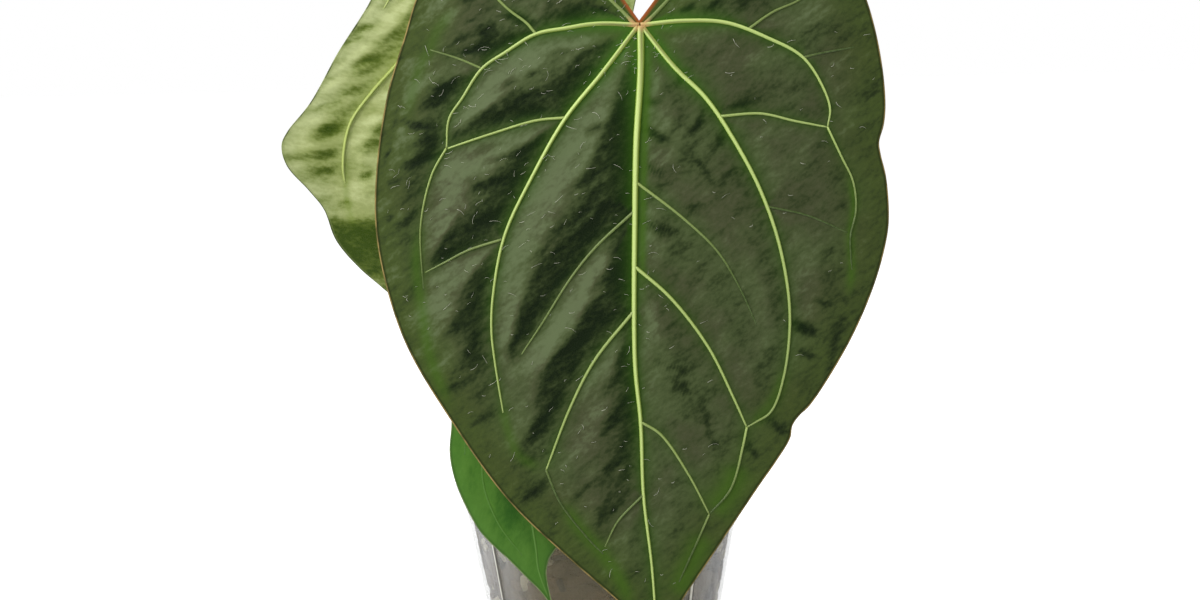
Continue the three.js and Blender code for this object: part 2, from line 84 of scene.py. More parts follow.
def unit(vectors):
    return vectors / np.linalg.norm(vectors, axis=-1, keepdims=True)


def noiseAt(points):
    return np.array([noise.noise(point) for point in points.tolist()])


# Meshes

def coordinates(mesh):
    place = np.empty(len(mesh.vertices) * 3)
    mesh.vertices.foreach_get("co", place)
    return place.reshape(-1, 3)


def meshOf(bm, name):
    mesh = bpy.data.meshes.new(name)
    bm.to_mesh(mesh)
    bm.free()
    return mesh


def linked(name, data):
    obj = bpy.data.objects.new(name, data)
    scene.collection.objects.link(obj)
    return obj


tubes = {}  # the templates made so far, by their rings and sides


def tubeTemplate(rings, sides):
    # a closed tube of unit size; each vertex knows its ring and its corner
    if (rings, sides) not in tubes:
        bm = bmesh.new()
        bmesh.ops.create_cone(
            bm, cap_ends=True, segments=sides, radius1=1, radius2=1, depth=rings
        )
        sideEdges = [e for e in bm.edges if abs(e.verts[0].co.z - e.verts[1].co.z) > 0.5]
        if rings > 1:
            bmesh.ops.subdivide_edges(bm, edges=sideEdges, cuts=rings - 1)
        bmesh.ops.recalc_face_normals(bm, faces=bm.faces)
        mesh = meshOf(bm, "tubeTemplate")
        place = coordinates(mesh)
        ring = np.rint(place[:, 2] + rings / 2).astype(int)
        turn = np.arctan2(place[:, 1], place[:, 0]) / (2 * np.pi / sides)
        tubes[(rings, sides)] = mesh, ring, np.rint(turn).astype(int) % sides
    return tubes[(rings, sides)]


class Heap:
    # gathers many shaped copies of templates into one mesh, with values at their vertices
    def __init__(self):
        self.bm = bmesh.new()
        self.places = []
        self.values = {}

    def add(self, template, place, **values):
        self.bm.from_mesh(template)
        self.places.append(place)
        for name, value in values.items():
            spread = np.broadcast_to(np.asarray(value, float), (len(place),))
            self.values.setdefault(name, []).append(spread)

    def finish(self, name, material):
        mesh = meshOf(self.bm, name)
        values = {key: np.concatenate(parts) for key, parts in self.values.items()}
        return makeObject(name, mesh, np.concatenate(self.places), values, material)


def makeObject(name, mesh, place, values, material):
    if place is not None:
        mesh.vertices.foreach_set("co", np.asarray(place, float).ravel())
    for key, value in values.items():
        attribute = mesh.attributes.new(key, "FLOAT", "POINT")
        attribute.data.foreach_set("value", np.asarray(value, float))
    mesh.shade_smooth()
    mesh.update()
    mesh.materials.append(material)
    return linked(name, mesh)


def dress(obj, slot, *nodes):
    # the piece rides on the plant's one body and stands for its nodes of the frame
    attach(obj, "root")
    if nodes:
        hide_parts(*nodes)
    faces = sum(len(polygon.vertices) - 2 for polygon in obj.data.polygons)
    print(f"{obj.name}: {faces} triangles")


def tubeAlong(centres, radii, sides):
    # places for a round tube along 3-D points, in the points' own unit
    along = unit(np.gradient(centres, axis=0))
    across = np.cross(along[0], [0.3, 0.2, 1.0])
    frames = []
    for direction in along:
        across = unit(across - direction * (across @ direction))
        frames.append((across, np.cross(direction, across)))
    mesh, ring, corner = tubeTemplate(len(centres) - 1, sides)
    first = np.array([f[0] for f in frames])
    second = np.array([f[1] for f in frames])
    angle = (corner * 2 * np.pi / sides)[:, None]
    radius = np.broadcast_to(np.asarray(radii, float), (len(centres),))[ring][:, None]
    offset = np.cos(angle) * first[ring] + np.sin(angle) * second[ring]
    return mesh, centres[ring] + radius * offset, ring


# Materials

class Nodes:
    # a short hand for building a node tree
    def __init__(self, name):
        self.material = bpy.data.materials.new(name)
        self.material.use_nodes = True
        self.tree = self.material.node_tree
        self.shader = self.tree.nodes["Principled BSDF"]

    def add(self, kind, inputs=None, **settings):
        node = self.tree.nodes.new(kind)
        for key, value in settings.items():
            setattr(node, key, value)
        for key, value in (inputs or {}).items():
            self.feed(node.inputs[key], value)
        return node

    def feed(self, socket, value):
        if isinstance(value, bpy.types.NodeSocket):
            self.tree.links.new(value, socket)
        else:
            socket.default_value = value

    def value(self, attribute):
        return self.add("ShaderNodeAttribute", attribute_name=attribute).outputs["Fac"]

    def coords(self, kind="Object"):
        return self.add("ShaderNodeTexCoord").outputs[kind]

    def math(self, operation, a, b=0.5, clamp=False):
        node = self.add("ShaderNodeMath", {0: a, 1: b}, operation=operation, use_clamp=clamp)
        return node.outputs[0]

    def range(self, value, low, high, newLow=0.0, newHigh=1.0):
        node = self.add(
            "ShaderNodeMapRange",
            {"Value": value, "From Min": low, "From Max": high, "To Min": newLow, "To Max": newHigh},
            interpolation_type="SMOOTHSTEP",
        )
        return node.outputs["Result"]

    def mix(self, share, a, b):
        node = self.add("ShaderNodeMix", data_type="RGBA")
        self.feed(node.inputs[0], share)
        self.feed(node.inputs[6], colour(a))
        self.feed(node.inputs[7], colour(b))
        return node.outputs[2]

    def noise(self, vector, scale, detail=3.0, roughness=0.5):
        node = self.add(
            "ShaderNodeTexNoise",
            {"Vector": vector, "Scale": scale, "Detail": detail, "Roughness": roughness},
        )
        return node.outputs["Fac"]

    def mapped(self, vector, scale=(1, 1, 1), turn=(0, 0, 0)):
        node = self.add("ShaderNodeMapping", {"Vector": vector, "Scale": scale, "Rotation": turn})
        return node.outputs["Vector"]

    def bump(self, height, strength, distance):
        node = self.add(
            "ShaderNodeBump", {"Height": height, "Strength": strength, "Distance": distance}
        )
        return node.outputs["Normal"]

    def set(self, **sockets):
        for key, value in sockets.items():
            self.feed(self.shader.inputs[key.replace("_", " ")], colour(value))
        return self.material


def colour(value):
    return (*value, 1) if isinstance(value, tuple) and len(value) == 3 else value


# The camera stands where the photo was taken from

camera = {
    "place": (1, -650, 297),
    "pitch": 10,
    "roll": 1.3,
    "fieldOfView": 40,
}


def makeCamera():
    pitch, roll = math.radians(camera["pitch"]), math.radians(camera["roll"])
    data = bpy.data.cameras.new("camera")
    data.sensor_fit = "HORIZONTAL"
    data.sensor_width = 36
    data.angle = math.radians(camera["fieldOfView"])
    data.clip_start = 0.02
    obj = linked("camera", data)
    turn = Matrix.Rotation(math.pi / 2 - pitch, 4, "X") @ Matrix.Rotation(-roll, 4, "Z")
    obj.matrix_world = Matrix.Translation(Vector(camera["place"]) * mm) @ turn
    scene.camera = obj


makeCamera()


# Leaves: each lies in its own plane, x across, y up from the stalk's end, z to the front

blade = {
    "lean": 80,
    "halfThickness": 0.4,
    "edgeRound": 0.25,
    "panelReach": 9,  # the width of the slope from a vein up to its cushion
    "wrinkleReach": 3.5,  # the same for the wrinkles
    "marginRings": [0.0, 0.45, 0.95, 1.7],  # how far in from the margin the outer points lie
    "lightProbe": 1.5,
    "foldCurve": 0.014,
    "creaseWander": 0.8,
    "veinSpacing": 0.3,
    "marginSteps": 2400,
    "belowNotch": (45, 75),  # degrees below level, where the wrinkles turn steeper
    "rightHalf": (-5, 25),
    "tipPart": (-105, -150),
    "glowReach": (0.9, 0.8),  # a fixed part and a share of the vein's width
}


def foldedEnd(past, turning):
    return np.where(
        past < turning,
        blade["foldCurve"] * np.maximum(0, past) ** 2,
        blade["foldCurve"] * turning * (2 * past - turning),
    )


frontLeaf = {
    "name": "front",
    "attach": (16.9, -64.9, 292.6),  # where the stalk meets the blade, in the frame
    "turn": -1.3,
    "hub": (0, -30),  # the middle that the blade's points spread from
    "cells": 208,
    "bend": lambda x, y: -7 * (x / 90) ** 2 - 7 * ((y + 90) / 125) ** 2,
    "stalkSide": -1,
    "standOff": 0.5,
    "veinFront": (0.25, 0.35),  # a vein's rise: a fixed part and a share of its width
    "veinBack": (0.5, 0.45),
    "rippleTurns": (25, 57),  # slants beside the notch and below it
    "ripples": [(26, 7, 0.1), (13, 3.6, 0.055), (7, 2.4, 0.022)],  # length, width, rise
    "calmRight": 0.4,  # the share of the relief that the right half keeps
    "calmTip": 0.65,  # the share that the tip loses
    "edgeFall": 18,  # cushions sink towards the margin over this width
    "foldShade": 6.5,
    "panelRise": 1.2,
    "lightFrom": (-0.8, 0.6),
    "paintedLightRange": (-0.135, 0.125),  # slopes towards the light from dark to fully lit
    "shadeSide": (0.94, -0.33),
    "left": [
        (0, 0), (-5.1, 7.4), (-11.5, 18), (-18, 33), (-30, 46), (-47, 46.5), (-62, 37), (-72, 24),
        (-78.7, 8.5), (-82.7, -5.1), (-88.5, -24.9), (-92.2, -50), (-92.6, -70.9), (-89.3, -90.6),
        (-81.5, -113.5), (-65.6, -140.1), (-45.6, -167.8), (-22.8, -189.6), (-8.4, -202.3),
        (3, -214), (6.5, -220.5),
    ],
    "right": [
        (0, 0), (5.4, 7.4), (12.5, 18), (19, 33), (31, 46), (48, 47), (63, 38), (73.5, 25),
        (80.5, 8.5), (84.9, -9.3), (86.8, -26.9), (86.2, -35.5), (84.4, -42), (84.9, -46),
        (86.8, -54), (87.8, -66), (87.3, -74.1), (83, -90.6), (74.1, -111.3), (59.9, -134.1),
        (56, -137.9), (53.6, -141.4), (52.9, -145.6), (47.6, -154.4), (42.7, -161.4),
        (25.6, -187.1), (15.5, -202.4), (9.5, -213), (6.5, -220.5),
    ],
    # points, widths at both ends, brightness at both ends
    "veins": [
        ([(0.5, -2), (0.5, -17.5), (-1, -42.5), (-1.5, -66.5), (-1.5, -119), (0.5, -140.5),
          (1.5, -165.5), (4.5, -191), (6.2, -214)], (3, 0.9), (1, 0.7)),
        ([(0, -1.5), (-14.5, -1), (-25.5, -2.5), (-36, -4.5), (-47, -11), (-55, -16.5),
          (-62, -27), (-66.5, -34), (-67.5, -44.5)], (2, 0.9), (1.05, 0.5)),
        ([(-36, -4.5), (-40, 0), (-46.5, 5), (-52.5, 12), (-56, 22)], (1.2, 0.8), (0.4, 0.2)),
        ([(-55, -16.5), (-63, -13), (-73.5, -9.5)], (1, 0.7), (0.25, 0.1)),
        ([(-67.5, -44.5), (-72.5, -53.5), (-76.5, -71.5), (-75.5, -94)], (1, 0.7), (0.65, 0)),
        ([(-0.5, -2), (-13, -18.5), (-25.5, -34), (-37.5, -55), (-47, -75.5), (-51, -96.5),
          (-51.5, -108.5), (-50.5, -118), (-47.5, -137)], (2, 0.8), (1.15, 0.5)),
        ([(-25.5, -34), (-36, -35), (-51.5, -39.5), (-67, -44.5)], (1.2, 0.9), (0.6, 0.65)),
        ([(-48, -76.5), (-59, -80), (-68, -84.5), (-75, -88)], (1.1, 0.7), (0.25, 0.2)),
        ([(-1.5, -66.5), (-14.5, -78.5), (-23.5, -89.5), (-34, -106), (-41, -116.5)],
         (1.2, 0.7), (0.22, 0.18)),
        ([(-1.5, -101), (-15.5, -118.5), (-24, -135), (-32.5, -157)], (1.4, 0.9), (0.5, 0.5)),
        ([(-32.5, -157), (-27.5, -168.5), (-17, -182), (-12.5, -186.5)], (1, 0.7), (0.1, -0.3)),
        ([(1.5, -165.5), (-7.5, -175), (-12, -184)], (1, 0.7), (0.12, 0.15)),
        ([(0.5, -1.5), (15, 0), (30.5, -0.5), (44.5, -5.5), (57.5, -12.5), (65, -24),
          (67, -31), (66, -37)], (2, 0.9), (1.05, 0.55)),
        ([(38.5, -2.5), (47, 3.5), (56.5, 8), (64, 14)], (1.1, 0.7), (0.3, 0.15)),
        ([(57.5, -12.5), (63.5, -11), (76, -8.5)], (1, 0.7), (0.12, -0.2)),
        ([(1, -2), (12, -16), (23.5, -27.5), (34, -43.5), (42.5, -60), (49, -79),
          (52.5, -102), (50.5, -124), (46, -136.5), (41, -140), (37.5, -142)],
         (2.1, 0.9), (1.05, 0.3)),
        ([(28.5, -33.5), (42.5, -32.5), (54.5, -35), (66, -37)], (1.2, 0.9), (0.55, 0.6)),
        ([(66, -37), (71, -47.5), (75, -56), (76, -66), (74, -75.5), (74.5, -87)],
         (1, 0.7), (0.65, -0.2)),
        ([(44.5, -65), (58.5, -68), (73, -74)], (0.9, 0.7), (0.02, -0.1)),
        ([(-1.3, -56.5), (15, -69), (27, -80.5), (34.5, -92.5), (41, -106.5)],
         (1.2, 0.7), (0.45, -0.1)),
        ([(-1.5, -86), (11, -97), (24, -114), (33, -132), (37.5, -142)], (1.5, 1), (0.7, 0.5)),
        ([(37.5, -142), (36.5, -147), (32, -163.5), (24.5, -172.5)], (1.1, 0.8), (0.55, -0.1)),
        ([(0.5, -140), (7.5, -144.5), (17.5, -159), (24.5, -172.5)], (1.2, 0.8), (0.4, 0.35)),
        ([(24.5, -172.5), (19.5, -184), (14, -196.5)], (0.9, 0.7), (0.3, -0.3)),
        ([(-1, -2), (-5, 2.5), (-11, 8.5), (-19, 17.5), (-28, 32)], (1.6, 0.8), (0.3, 0.2)),
        ([(1, -2), (5.5, 2.5), (11, 8.5), (19, 17.5), (29, 33)], (1.6, 0.8), (0.25, 0.2)),
    ],
    # creases: both ends, width, depth
    "folds": [
        (-5, -22, -6, -62, 4.2, 0.3), (-6, -58, -6.5, -100, 4, 0.26), (-5, -105, -4, -160, 2.6, 0.16),
        (-64.5, -11, -47, -8, 1.4, 0.34), (-47, -7.5, -37.5, -3, 1.2, 0.3),
        (-56.5, -4, -49.5, -2.5, 1.2, 0.2), (-62, -0.5, -56.5, 1, 1.2, 0.14),
        (-47, 2.5, -35.5, -1, 1.6, 0.3), (-27.5, 1.5, -17, 1, 1.5, 0.3),
        (-17, 4.5, -8.5, 2.5, 1.3, 0.2), (-32.5, -12.5, -23.5, -10, 1.2, 0.12),
        (-39, -20, -33.5, -17, 1.2, 0.14), (-47.5, -23.5, -43, -20.5, 1.2, 0.09),
        (-45, -28, -27, -24, 1.1, 0.3), (-56.5, -37, -43.5, -31, 1.2, 0.25),
        (-48.5, -34.5, -29, -30, 1.6, 0.36), (-27.5, -23.5, -18, -20, 1.2, 0.14),
        (-66.5, -42.5, -62, -38.5, 1.2, 0.2), (-75, -29, -62, -22, 1.6, 0.16),
        (-84, -35, -70.5, -37.5, 1.5, 0.26), (-84.5, -51, -69, -46, 1.4, 0.3),
        (-89, -56.5, -83.5, -55, 1.2, 0.12), (-88.5, -70.5, -86, -67, 1.2, 0.14),
        (-53, -49.5, -36, -44.5, 1.2, 0.22), (-58, -59, -41.5, -55, 1.3, 0.3),
        (-73, -84.5, -56.5, -77, 1.5, 0.36), (-62, -76, -46, -65.5, 1.9, 0.36),
        (-68, -76, -59.5, -71, 1.2, 0.14), (-59, -93.5, -50, -86.5, 1.1, 0.14),
        (-67.5, -110, -51.5, -97.5, 1.3, 0.17), (-67.5, -130, -56.5, -123.5, 1.5, 0.2),
        (-60, -142.5, -50, -136, 1.1, 0.16), (-18, -40, -11.5, -36, 1.2, 0.2),
        (-20.5, -58, -11.5, -50, 1.1, 0.3), (-23.5, -72, -13, -58, 1.6, 0.36),
        (-29, -84.5, -13.5, -69, 1.9, 0.4), (-34.5, -95.5, -19.5, -81, 1.8, 0.36),
        (-41.5, -107, -31, -94, 1.3, 0.18), (-17, -95, -7.5, -83.5, 1.3, 0.22),
        (-21.5, -106, -8, -92, 1.5, 0.28), (-27.5, -116, -10, -100, 1.9, 0.36),
        (-34.5, -125, -19, -110, 1.9, 0.38), (-40, -149.5, -27.5, -130, 1.9, 0.36),
        (-13.5, -131, -4, -121, 1.1, 0.22), (-12.5, -143, -2, -132, 1.4, 0.24),
        (-15, -163, -2.5, -146, 1.7, 0.28), (-24, -167.5, -15, -160, 1.2, 0.12),
        (-13.5, -176, -4.5, -165, 1.4, 0.16), (-41.5, -170, -31.5, -160, 1.4, 0.28),
        (-45, -157, -36.5, -152, 1.1, 0.12), (-83.5, -23.5, -87, -41.5, 1.4, 0.09),
        (-87, -42, -90, -50, 1.2, 0.14), (1, -38, 10, -42.5, 1.5, 0.3),
        (1, -51, 8, -53.5, 1.3, 0.25), (1, -28.5, 9, -29, 1.2, 0.15),
        (18.5, -39, 23.5, -30, 1.1, 0.3), (26.5, -45, 31, -39.5, 1.2, 0.22),
        (27, -58.5, 34, -51.5, 1.2, 0.18), (13, -23.5, 16, -17, 1.2, 0.15),
        (30, -31, 42.5, -27.5, 1.2, 0.25), (15, 2.5, 19.5, 6, 1.3, 0.3),
        (23.5, 2.5, 29, 7.5, 1.3, 0.3), (34.5, 4, 39.5, 9, 1.2, 0.22),
        (1, -70.5, 13, -75, 1.6, 0.25), (16, -67, 21.5, -64, 1.2, 0.2),
        (53, -105.5, 62.5, -109.5, 1.8, 0.36), (55.5, -115, 61.5, -118, 1.2, 0.22),
        (60.5, -97.5, 67, -99.5, 1.2, 0.15), (43, -139, 53, -144, 1.6, 0.25),
        (37, -146.5, 41.5, -153, 1.3, 0.16), (20.5, -130, 26.5, -151, 1.2, 0.1),
        (18, -46, 26.5, -58.5, 1.2, 0.1), (11.5, -125.5, 18, -130, 1.2, 0.2),
        (5.5, -119.5, 18, -123, 1.2, 0.12), (71, -103, 68.5, -115, 1.2, 0.14),
        (68.5, -115, 65.5, -124, 1.2, 0.14),
    ],
    # soft green lines that no vein raises: points, width, strength
    "traces": [
        ([(2.8, -5), (2.8, -20), (1.8, -45), (1.2, -75), (1.2, -100)], 1.3, 0.75),
        ([(-62.5, 7.5), (-71, -3), (-74, -10), (-77.5, -17), (-80, -26), (-82, -36)], 2.2, 0.4),
        ([(-76.5, -69), (-78, -85), (-76, -101), (-73, -118), (-65, -138)], 2.2, 0.6),
        ([(-48, -134), (-45.5, -144), (-42, -152), (-33, -157)], 1.8, 0.5),
        ([(-28, -166), (-22, -176), (-12.5, -187), (-6.5, -196), (-2, -208)], 2.6, 0.7),
        ([(73, -52), (75.5, -63), (74, -75), (74.5, -87), (73, -98)], 1.5, 0.7),
        ([(51.5, -121), (47.5, -131), (43, -137), (38, -142)], 2, 0.45),
        ([(35, -154), (33, -160.5), (29, -167.5), (24.5, -172.5)], 5, 0.7),
        ([(23, -178), (20, -186), (17, -192), (13, -203)], 4.5, 0.7),
    ],
}
backLeaf = {
    "name": "back",
    "attach": (-29.1, 57.9, 326.4),
    "turn": -21.2,
    "hub": (0, -30),
    "cells": 168,
    "bend": lambda x, y: 6 * (x / 65) ** 2 - 0.22 * x - foldedEnd(-y - 105, 40),
    "stalkSide": 1,
    "standOff": 2.4,
    "veinFront": (0.3, 0.4),
    "veinBack": (0.2, 0.25),
    "rippleTurns": (58, 32),
    "ripples": [(26, 6.5, 0.17), (12, 3.6, 0.07)],
    "calmRight": 1.0,
    "calmTip": 0,
    "edgeFall": 14,
    "foldShade": 3.2,
    "panelRise": 1.0,
    "lightFrom": (-0.6, 0.8),
    "paintedLightRange": (-0.2, 0.17),
    "shadeSide": (0.6, -0.8),
    "folds": [
        (-52, -63.5, -41, -54, 1.6, 0.26), (-54, -68.5, -46, -62.5, 1.3, 0.2),
        (-46, -76, -41.5, -70.5, 1.3, 0.18), (-44, -73, -36, -66, 1.4, 0.28),
        (-56, -87.5, -48.5, -79.5, 1.3, 0.14), (-48, -91, -42, -83, 1.3, 0.1),
        (-53, -96.5, -47, -91, 1.3, 0.14), (-50.5, -108, -42.5, -98.5, 2.6, 0.5),
        (-46.5, -115.5, -40, -111.5, 1.4, 0.28), (-47, -121, -37.5, -116, 1.4, 0.28),
        (-29, -117.5, -22.5, -112.5, 1.9, 0.4), (-34, -130, -29, -126.5, 1.3, 0.22),
        (-32.5, -105.5, -28.5, -99.5, 1.6, 0.1),
    ],
    "traces": [([(-37, -108), (-34, -118), (-31, -127), (-25, -138)], 1.4, 0.4)],
    # past this line the blade bends out of the light
    "shadeLine": ((-38.2, -135.3), (-18.4, -128)),
    "shadeStart": (-1, 7),
    "shadeEasing": (14, 32),
    "shadeEased": 0.45,
    "left": [
        (0, 0), (-5, 7), (-9, 19), (-17, 31), (-28, 34), (-38, 27), (-44, 10), (-46, -15),
        (-47.5, -46.5), (-52.5, -71.5), (-56, -95), (-60.5, -109.5), (-61, -115.5), (-57, -122.5),
        (-46.2, -129.1), (-39, -134.3), (-31.7, -145.2), (-20.2, -153.1), (-9.9, -157.7),
        (-2, -161.5), (9, -171),
    ],
    "right": [
        (0, 0), (5, 7), (11, 18), (21, 30), (33, 33), (44, 25), (51, 9), (54, -8), (57, -40),
        (56, -70), (50, -96), (41, -118), (31, -136), (21, -152), (14, -162), (9, -171),
    ],
    "veins": [
        ([(0, -2), (0, -30), (-1, -70), (-1, -110), (0, -135), (3, -152), (7, -165)],
         (2.6, 1), (1, 0.8)),
        ([(0, -2), (-13, -22), (-23, -45), (-30, -68), (-35, -81.5), (-39, -97.5),
          (-36.5, -113.5), (-33.5, -121)], (2.2, 1.3), (1.1, 0.1)),
        ([(0, -2), (14, -20), (26, -42), (34, -68), (36, -92), (31, -114), (21, -133)],
         (1.9, 0.9), (1, 0.6)),
        ([(0, -2), (-16, -4), (-31, -16), (-39, -34), (-42, -48)], (1.6, 0.9), (0.9, -0.6)),
        ([(0, -2), (17, -3), (34, -12), (44, -29), (48, -50)], (1.6, 0.9), (0.9, 0.4)),
        ([(0, -2), (-9, 6), (-19, 17), (-27, 24)], (1.4, 0.8), (0.8, 0.4)),
        ([(0, -2), (10, 6), (21, 16), (31, 23)], (1.4, 0.8), (0.8, 0.4)),
        ([(-1, -70), (-14, -86), (-22, -104)], (1.1, 0.8), (0.6, 0.3)),
        ([(-1, -78), (12, -92), (20, -112)], (1.1, 0.8), (0.6, 0.3)),
    ],
}
youngLeaf = {
    "name": "young",
    "attach": (-34.3, -66, 159.8),
    "turn": 11.9,
    "hub": (-6, -30),
    "cells": 112,
    "bend": lambda x, y: -4 * (x / 24) ** 2 - 3 * ((y + 35) / 45) ** 2,
    "stalkSide": -1,
    "standOff": 0.5,
    "veinFront": (0.05, 0.15),
    "veinBack": (0.3, 0.4),
    "rippleTurns": (40, 55),
    "ripples": [(24, 10, 0.08), (9, 4, 0.02)],
    "calmRight": 1.0,
    "calmTip": 0,
    "edgeFall": 6,
    "foldShade": 3.2,
    "panelRise": 0.35,
    "lightFrom": (-0.85, 0.5),
    "paintedLightRange": (-0.13, 0.12),
    "shadeSide": (0.94, -0.33),
    "folds": [(-9, -50, -3, -20, 5, 0.42), (-3, -58, -1, -46, 1.6, 0.12)],
    "traces": [([(-14, -31), (-15, -34), (-12.5, -40)], 0.7, 0.6)],
    "left": [
        (0, 0), (-4, 5), (-9, 10), (-15, 10.5), (-19.5, 4), (-21.5, -6), (-24.5, -16),
        (-25, -23.5), (-24, -32.5), (-20, -46.5), (-12, -59), (-8, -65.5), (-4, -72),
        (-2.2, -76), (-0.3, -81),
    ],
    "right": [
        (0, 0), (4, 5), (9, 10), (15, 10), (20, 3), (23.5, -8), (24, -22), (21.5, -36),
        (15.5, -48), (8.5, -56), (4.5, -59), (2, -61.5), (0, -66), (-0.5, -70.5), (-0.6, -76),
        (-0.3, -81),
    ],
    "veins": [
        ([(0, -1), (0, -20), (-0.5, -40), (-1.5, -56), (-2.5, -64), (-1.6, -75)],
         (1.6, 0.7), (0.9, 0.5)),
        ([(0, -1), (-9, -13), (-14.5, -27), (-13, -44), (-7, -58)], (1.1, 0.7), (0.5, 0.15)),
        ([(0, -1), (9, -13), (14.5, -26), (12.5, -42), (5, -53)], (1.1, 0.7), (0.5, 0.15)),
        ([(0, -1), (-8, -2), (-16, -9), (-19, -18)], (1, 0.7), (0.4, 0.1)),
        ([(0, -1), (8, -2), (16, -8), (19, -17)], (1, 0.7), (0.4, 0.1)),
    ],
}


def leafMatrix(leaf):
    lean = Matrix.Rotation(math.radians(blade["lean"]), 4, "X")
    turn = Matrix.Rotation(math.radians(leaf["turn"]), 4, "Z")
    return np.array(Matrix.Translation(leaf["attach"]) @ lean @ turn)


def toWorld(leaf, places):
    # from the leaf's own millimetres to metres in the frame
    matrix = leafMatrix(leaf)
    return (places @ matrix[:3, :3].T + matrix[:3, 3]) * mm


def prepareLeaf(leaf):
    # smooth veins and margin, with trees for the distance to each
    leaf["veinCurves"] = [smoothCurve(path) for path, _, _ in leaf["veins"]]
    spots, owners = [], []
    for vein, curve in enumerate(leaf["veinCurves"]):
        share = np.linspace(0, 1, int(lengths(curve)[-1] / blade["veinSpacing"]))
        spots.append(alongCurve(curve, share))
        width = np.interp(share, [0, 1], leaf["veins"][vein][1])
        tone = np.interp(share, [0, 1], leaf["veins"][vein][2])
        owners.append(np.stack([width, tone], axis=1))
    leaf["veinFacts"] = np.vstack(owners)
    leaf["veinTree"] = treeOf(np.vstack(spots))
    share = np.linspace(0, 1, blade["marginSteps"])
    sides = [smoothCurve(leaf[side]) for side in ("left", "right")]
    leaf["leftCurve"], leaf["rightCurve"] = sides
    leaf["marginTree"] = treeOf(np.vstack([alongCurve(curve, share) for curve in sides]))


def treeOf(points):
    tree = kdtree.KDTree(len(points))
    for index, (x, y) in enumerate(points.tolist()):
        tree.insert((x, y, 0), index)
    tree.balance()
    return tree


def nearest(tree, flat):
    found = [tree.find((x, y, 0))[1:] for x, y in flat.tolist()]
    return np.array([f[0] for f in found]), np.array([f[1] for f in found])


def flatNoise(flat, size, layer):
    return noiseAt(np.column_stack([flat / size, np.full(len(flat), float(layer))]))


def ripples(leaf, flat):
    # wrinkles on one slant beside the notch and on a steeper one below it
    x, y = flat.T
    below = smoothStep(*blade["belowNotch"], np.degrees(np.arctan2(-y, np.abs(x))))
    height = np.zeros(len(flat))
    for slant, share in zip(leaf["rippleTurns"], (1 - below, below)):
        turn = math.radians(slant)
        along = x * math.cos(turn) + y * math.sin(turn)
        over = -x * math.sin(turn) + y * math.cos(turn)
        for layer, (longways, crossways, rise) in enumerate(leaf["ripples"]):
            turned = np.column_stack([along / longways, over / crossways])
            height += share * rise * 2 * flatNoise(turned, 1, 7.3 * layer + slant)
    return height


def creases(leaf, flat):
    # how deep the blade sinks along its folds
    wander = [blade["creaseWander"] * flatNoise(flat, 6, layer) for layer in (3, 50)]
    x, y = flat.T + np.array(wander)
    depth = np.zeros(len(flat))
    for x1, y1, x2, y2, width, deep in leaf["folds"]:
        half = math.hypot(x2 - x1, y2 - y1) / 2
        aheadX, aheadY = (x2 - x1) / 2 / half, (y2 - y1) / 2 / half
        fromX, fromY = x - (x1 + x2) / 2, y - (y1 + y2) / 2
        along = np.abs(fromX * aheadX + fromY * aheadY) / half
        across = (fromY * aheadX - fromX * aheadY) / width
        depth += deep * (1 - smoothStep(0.1, 1.5, along)) * np.exp(-(across**2))
    return depth


def cushions(leaf, flat):
    # swellings between the veins with their wrinkles, calmer on the right half
    _, distance = nearest(leaf["veinTree"], flat)
    calm = 1 - (1 - leaf["calmRight"]) * smoothStep(*blade["rightHalf"], flat[:, 0])
    calm = calm * (1 - leaf["calmTip"] * smoothStep(*blade["tipPart"], flat[:, 1]))
    _, inside = nearest(leaf["marginTree"], flat)
    cushion = leaf["panelRise"] * (1 - np.exp(-((distance / blade["panelReach"]) ** 2)))
    cushion = cushion * smoothStep(0, leaf["edgeFall"], inside)
    wrinkled = ripples(leaf, flat) * (1 - np.exp(-((distance / blade["wrinkleReach"]) ** 2)))
    return calm * (cushion + wrinkled)


def relief(leaf, flat):
    return cushions(leaf, flat) - creases(leaf, flat)


def litShare(leaf, flat):
    # painted light and shade: how far the cushions face a fixed light, taken over a few millimetres
    # so that no crest is hard, darkened in the creases and past the line where the blade bends away
    probe = blade["lightProbe"]
    towards = np.zeros(len(flat))
    for step, light in zip(((probe, 0), (0, probe)), unit(np.array(leaf["lightFrom"]))):
        towards -= light * (cushions(leaf, flat + step) - cushions(leaf, flat - step)) / (2 * probe)
    low, high = leaf["paintedLightRange"]
    share = np.clip((towards - low) / (high - low), 0, 1)
    return share * (1 - outOfLight(leaf, flat)) * np.exp(-leaf["foldShade"] * creases(leaf, flat))


def bend(leaf, flat):
    return leaf["bend"](*flat.T) - leaf["bend"](0, 0)


def surface(leaf, flat, probe=0.5):
    # heights and normals of the blade's middle surface
    raised = relief(leaf, flat)
    bent = bend(leaf, flat)
    slopes = []
    for step in ((probe, 0), (0, probe)):
        moved = flat + step
        slopes.append((relief(leaf, moved) + bend(leaf, moved) - raised - bent) / probe)
    normal = unit(np.column_stack([-slopes[0], -slopes[1], np.ones(len(flat))]))
    return raised + bent, normal


def greenTraces(leaf, flat):
    strength = np.zeros(len(flat))
    for points, width, share in leaf["traces"]:
        count = 120
        line = alongCurve(smoothCurve(points), np.linspace(0, 1, count))
        spot, distance = nearest(treeOf(line), flat)
        toEnd = np.minimum(spot, count - 1 - spot) / count
        fade = smoothStep(0, 0.2, toEnd)
        strength = np.maximum(strength, share * fade * np.exp(-((distance / width) ** 2)))
    return strength


